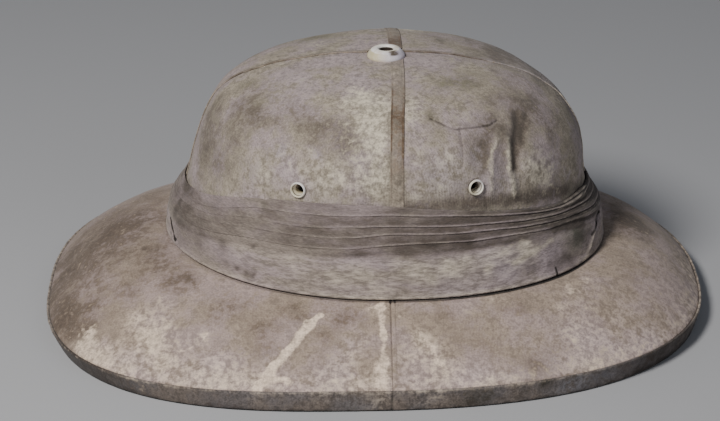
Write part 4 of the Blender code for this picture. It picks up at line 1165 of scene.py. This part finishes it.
# The four narrow turns, each with a rolled lower edge that stands off the turn below.
meshes = []
for number, (line, upper) in enumerate(zip(lines, [top_line, *lines[:3]])):
    tuck = np.minimum(upper + 3.4, top_line - 0.6)
    heights = [line + 0.15, line - 0.1, line + 0.05, line + 0.35, line + 0.8]
    offs = [-0.42 * step, -0.1 * step, 0.28 * step, 0.46 * step, 0.5 * step]
    for share in np.linspace(0.15, 1.0, 7):
        heights.append(line + 0.8 + (upper - 0.4 - line - 0.8) * share)
        offs.append(step * (0.5 - 0.95 * share ** 1.3) if number else step * (0.5 - 0.4 * share))
    if number:
        heights += [np.minimum(upper + 1.2, tuck - 0.1), tuck, tuck + 0.1, line + 3.0, line + 1.2]
        offs += [-0.5 * step - further for further in (0.0, 0.35, 0.75, 0.7, 0.3)]
    else:
        heights += [upper, upper + 0.05, upper - 0.3, line + 2.5, line + 1.2]
        offs += [-0.15, -0.5, -0.95, -0.5 * step - 0.7, -0.5 * step - 0.3]
    rows = np.stack([wound(height, off) for height, off in zip(heights, offs)])
    face = outward(rows)
    rows[3:12] += face[3:12] * (0.22 * waves(rows[3:12] * (0.35, 0.35, 1), 3.5, number * 3.0)
                                + 0.15 * waves(rows[3:12], 9.0, number + 2.0))[..., None]
    above = np.stack([h - line for h in heights])
    below = np.stack([np.maximum(upper - 0.4 - h, 0.0) for h in heights])
    strong = np.interp(signed, (-150, -115, -100, -60, 0, 60, 180),
                       (0.05, 0.12, 0.35, 0.75, 0.8, 0.6, 0.3))
    # A painted highlight along each fold's lower edge.
    highlight = 0.36 * strong * bell(above - 0.3, 0.28) * (1 + 0.8 * waves(rows, 7.0, 2.0))
    # Grime and painted shade, heaviest toward the front right.
    soiled_and_shaded = np.interp(signed, (-180, -160, -150, -138, -125, -115, -102, -85, -72, -60, -47, -32,
                                0, 60, 180),
                       (0.6, 0.44, 0.32, 0.4, 0.58, 0.63, 0.68, 0.75, 0.81, 0.85, 0.9, 1.05,
                        1.05, 0.72, 0.68))
    if number == 0:
        soiled_and_shaded *= np.interp(signed, (-150, -115, -102, -85, -72, -47),
                            (0.95, 0.85, 0.7, 0.75, 0.88, 1.0))
    rubbed = np.interp(signed, (-155, -130, -112, -95, -60), (0.15, 0.2, 0.35, 0.6, 0.85))
    grime_and_shade = soiled_and_shaded * (1 - rubbed * fade(above, 1.2, 0.4))
    # Painted shade under the edge of the fold above.
    dark = 0.6 * strong * bell(below, 0.6) * (number > 0)
    # At the front, a shallow crease along the middle of each turn, with a painted highlight above
    # it and painted shade in it.
    ahead = np.interp(signed, (-66, -46, -14, 2), (0, 1, 1, 0))
    middle = above - 0.52 * (upper - line)
    rows -= face * (0.3 * ahead * bell(middle, 0.4))[..., None]
    highlight += 0.4 * ahead * bell(middle - 0.5, 0.3)
    dark += 0.35 * ahead * bell(middle, 0.3)
    if number < 2:
        pleats = strokes(rows, (
            (0.7, 1.0, (90.2, -51.1, 73.4), (95.7, -44.4, 73.2), (104.4, -30.6, 73.2),
             (109.0, -18.8, 71.8)),
            (0.7, 1.0, (91.6, -51.4, 71.8), (101.4, -37.2, 70.9), (108.5, -24.2, 70.6)),
            (0.6, 0.8, (97.0, -46.0, 71.6), (103.0, -36.0, 72.2), (108.0, -24.0, 72.6))))
        rows += face * (0.3 * pleats)[..., None]
        # The pleats get a painted highlight.
        highlight = np.maximum(highlight, 0.4 * pleats)
    meshes.append(wound_mesh(f"pagri_turn_{number + 1}", rows, heights,
                             pagri_paint(rows, grime_and_shade, highlight, dark)))
with bpy.context.temp_override(active_object=meshes[0], selected_editable_objects=meshes,
                               selected_objects=meshes, object=meshes[0]):
    bpy.ops.object.join()
narrow = meshes[0]
narrow.name = "pagri_narrow_turns"
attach(narrow, "root")
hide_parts("pagri")


# ---- Ventilator collar and eyelets -------------------------------------------------------------
# Spun metal painted off-white, pressed through the crown: a collar at the top that takes a cap,
# and two plain eyelets in each side. The paint is rubbed and dirty round the holes.

EYELET_LIP = 1.8
COLLAR_BASE = CROWN_TOP + 0.3
COLLAR_TIP = COLLAR_BASE + 4.3

enamel, shader, place = new_finish("old_white_enamel", rough=0.45, gloss=0.5, sheen=0.0)
smudge = speckle(place, 5.0, 4.0, 0.6)
chip = speckle(place, 1.6, 3.0, 0.6)
colour = place.mixed(dye(250, 246, 240), dye(232, 222, 206), smudge.rise(0.4, 0.62))
colour = colour.toward((198, 186, 144), painted(place, "yellowed") * (0.5 + smudge * 0.9))
colour = colour.toward((192, 184, 204), painted(place, "cool") * (0.4 + smudge * 0.7))
dirty = painted(place, "dirt_and_shade") + (chip - 0.5) * 0.8
colour = colour.toward((96, 86, 76), dirty.rise(0.35, 0.95))
shaded = painted(place, "dark") + (chip - 0.5) * 0.5
colour = colour.toward((58, 50, 44), shaded.rise(0.4, 0.9))
colour.into(shader, "Base Color")
((smudge - 0.5) * 0.5 + 0.48).into(shader, "Roughness")
(chip + smudge).raised(0.4, 0.2 * MM).into(shader, "Normal")


def spun(name, profile, middle, facing, node, steps, worn):
    """A fitting turned about its own axis from a closed profile of radius and height."""
    spacing, most_rounded = 0.5, 0.25
    profile = np.array(profile, float)
    fine = []
    for a, b in zip(profile, np.roll(profile, -1, axis=0)):
        count = max(1, int(np.ceil(np.linalg.norm(b - a) / spacing)))
        fine += [a + (b - a) * share for share in np.linspace(0, 1, count, endpoint=False)]
    profile = np.array(fine)
    smooth = (np.roll(profile, 1, 0) + 2 * profile + np.roll(profile, -1, 0)) / 4
    moved = np.linalg.norm(smooth - profile, axis=1, keepdims=True)
    profile = np.where(moved < most_rounded, smooth, profile)
    turn = np.linspace(0, 2 * np.pi, steps, endpoint=False)
    r, z = profile[:, 0, None], profile[:, 1, None]
    local = np.stack(np.broadcast_arrays(r * np.cos(turn), r * np.sin(turn), z), -1)
    upright = np.array(Vector(facing).to_track_quat("Z", "Y").to_matrix())
    points = local @ upright.T + np.array(middle)
    points += 0.04 * waves(points, 3.0)[..., None] * np.array(facing)
    fitting = ring_mesh(name, points, (enamel,), worn(r, z, turn), closed=True)
    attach(fitting, "root")
    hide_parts(node)


def collar_wear(r, z, turn):
    """Paint chipped along the near rim of the hole, yellowed on the flange behind it, and painted
    shade inside the hole.
    """
    chipped = bell(turn - 2.1, 0.5) * (r > 5.8) * fade(z, COLLAR_TIP - 2.4, COLLAR_TIP - 1.6)
    behind, near = np.maximum(np.cos(turn - 0.5), 0), np.maximum(np.cos(turn - 2.5), 0)
    return {
        "dirt_and_shade": 0.3 * (z < COLLAR_BASE + 0.6) + 0.4 * (r < 4.7) + 0.95 * chipped,
        # Painted shade inside the hole.
        "dark": 1.0 * (r < 4.2) * (z < COLLAR_TIP - 1.0),
        "yellowed": 0.8 * behind * (z < COLLAR_BASE + 3.2) * (r > 7.0),
        "cool": near * (z < COLLAR_TIP - 0.3) * (r > 6.6),
    }


def eyelet_wear(r, z, turn):
    """Yellowed all round, with dirt along the flange's foot and inside the hole, and painted shade
    deep in the bore.
    """
    return {
        "dirt_and_shade": 0.6 * (z < 0.9) * (z > 0) + 0.3 * (r < EYELET_HOLE),
        # Painted shade deep in the bore.
        "dark": 0.9 * (z < -5.0),
        "yellowed": 0.35 + 0.35 * np.cos(turn - 4.0),
        "cool": 0.4 * np.maximum(np.cos(turn - 1.0), 0),
    }


tip, base = COLLAR_TIP, COLLAR_BASE
spun("vent_collar_enamel", (
    (3.8, tip - 1.1), (4.1, tip - 0.4), (4.8, tip), (6.4, tip - 0.1), (7.6, tip - 0.6),
    (8.5, tip - 1.5), (9.2, base + 1.9), (9.8, base + 1.1), (10.1, base + 0.2), (9.9, base - 0.7),
    (6.3, base - 0.2), (6.3, base - 9.5), (3.8, base - 9.5)),
    (VENT_X + 0.5, VENT_Y - 0.6, 0.0), (0.0, 0.0, 1.0), "vent_collar", 96, collar_wear)
eyelet_profile = (
    (2.6, -2.4), (2.7, -1.2), (2.95, 0.0), (3.2, EYELET_LIP - 0.8), (3.4, EYELET_LIP - 0.2),
    (3.7, EYELET_LIP), (4.05, EYELET_LIP - 0.4), (4.3, 0.65), (4.2, 0.3), (3.2, 0.3),
    (3.2, -8.3), (2.9, -8.3), (2.9, -3.0))
for side, flank in ((-1, "right"), (1, "left")):
    for end, x, level in EYELETS:
        spun(f"eyelet_{flank}_{end}_enamel", eyelet_profile, *eyelet_place(side, x, level),
             f"eyelet_{flank}_{end}", 64, eyelet_wear)
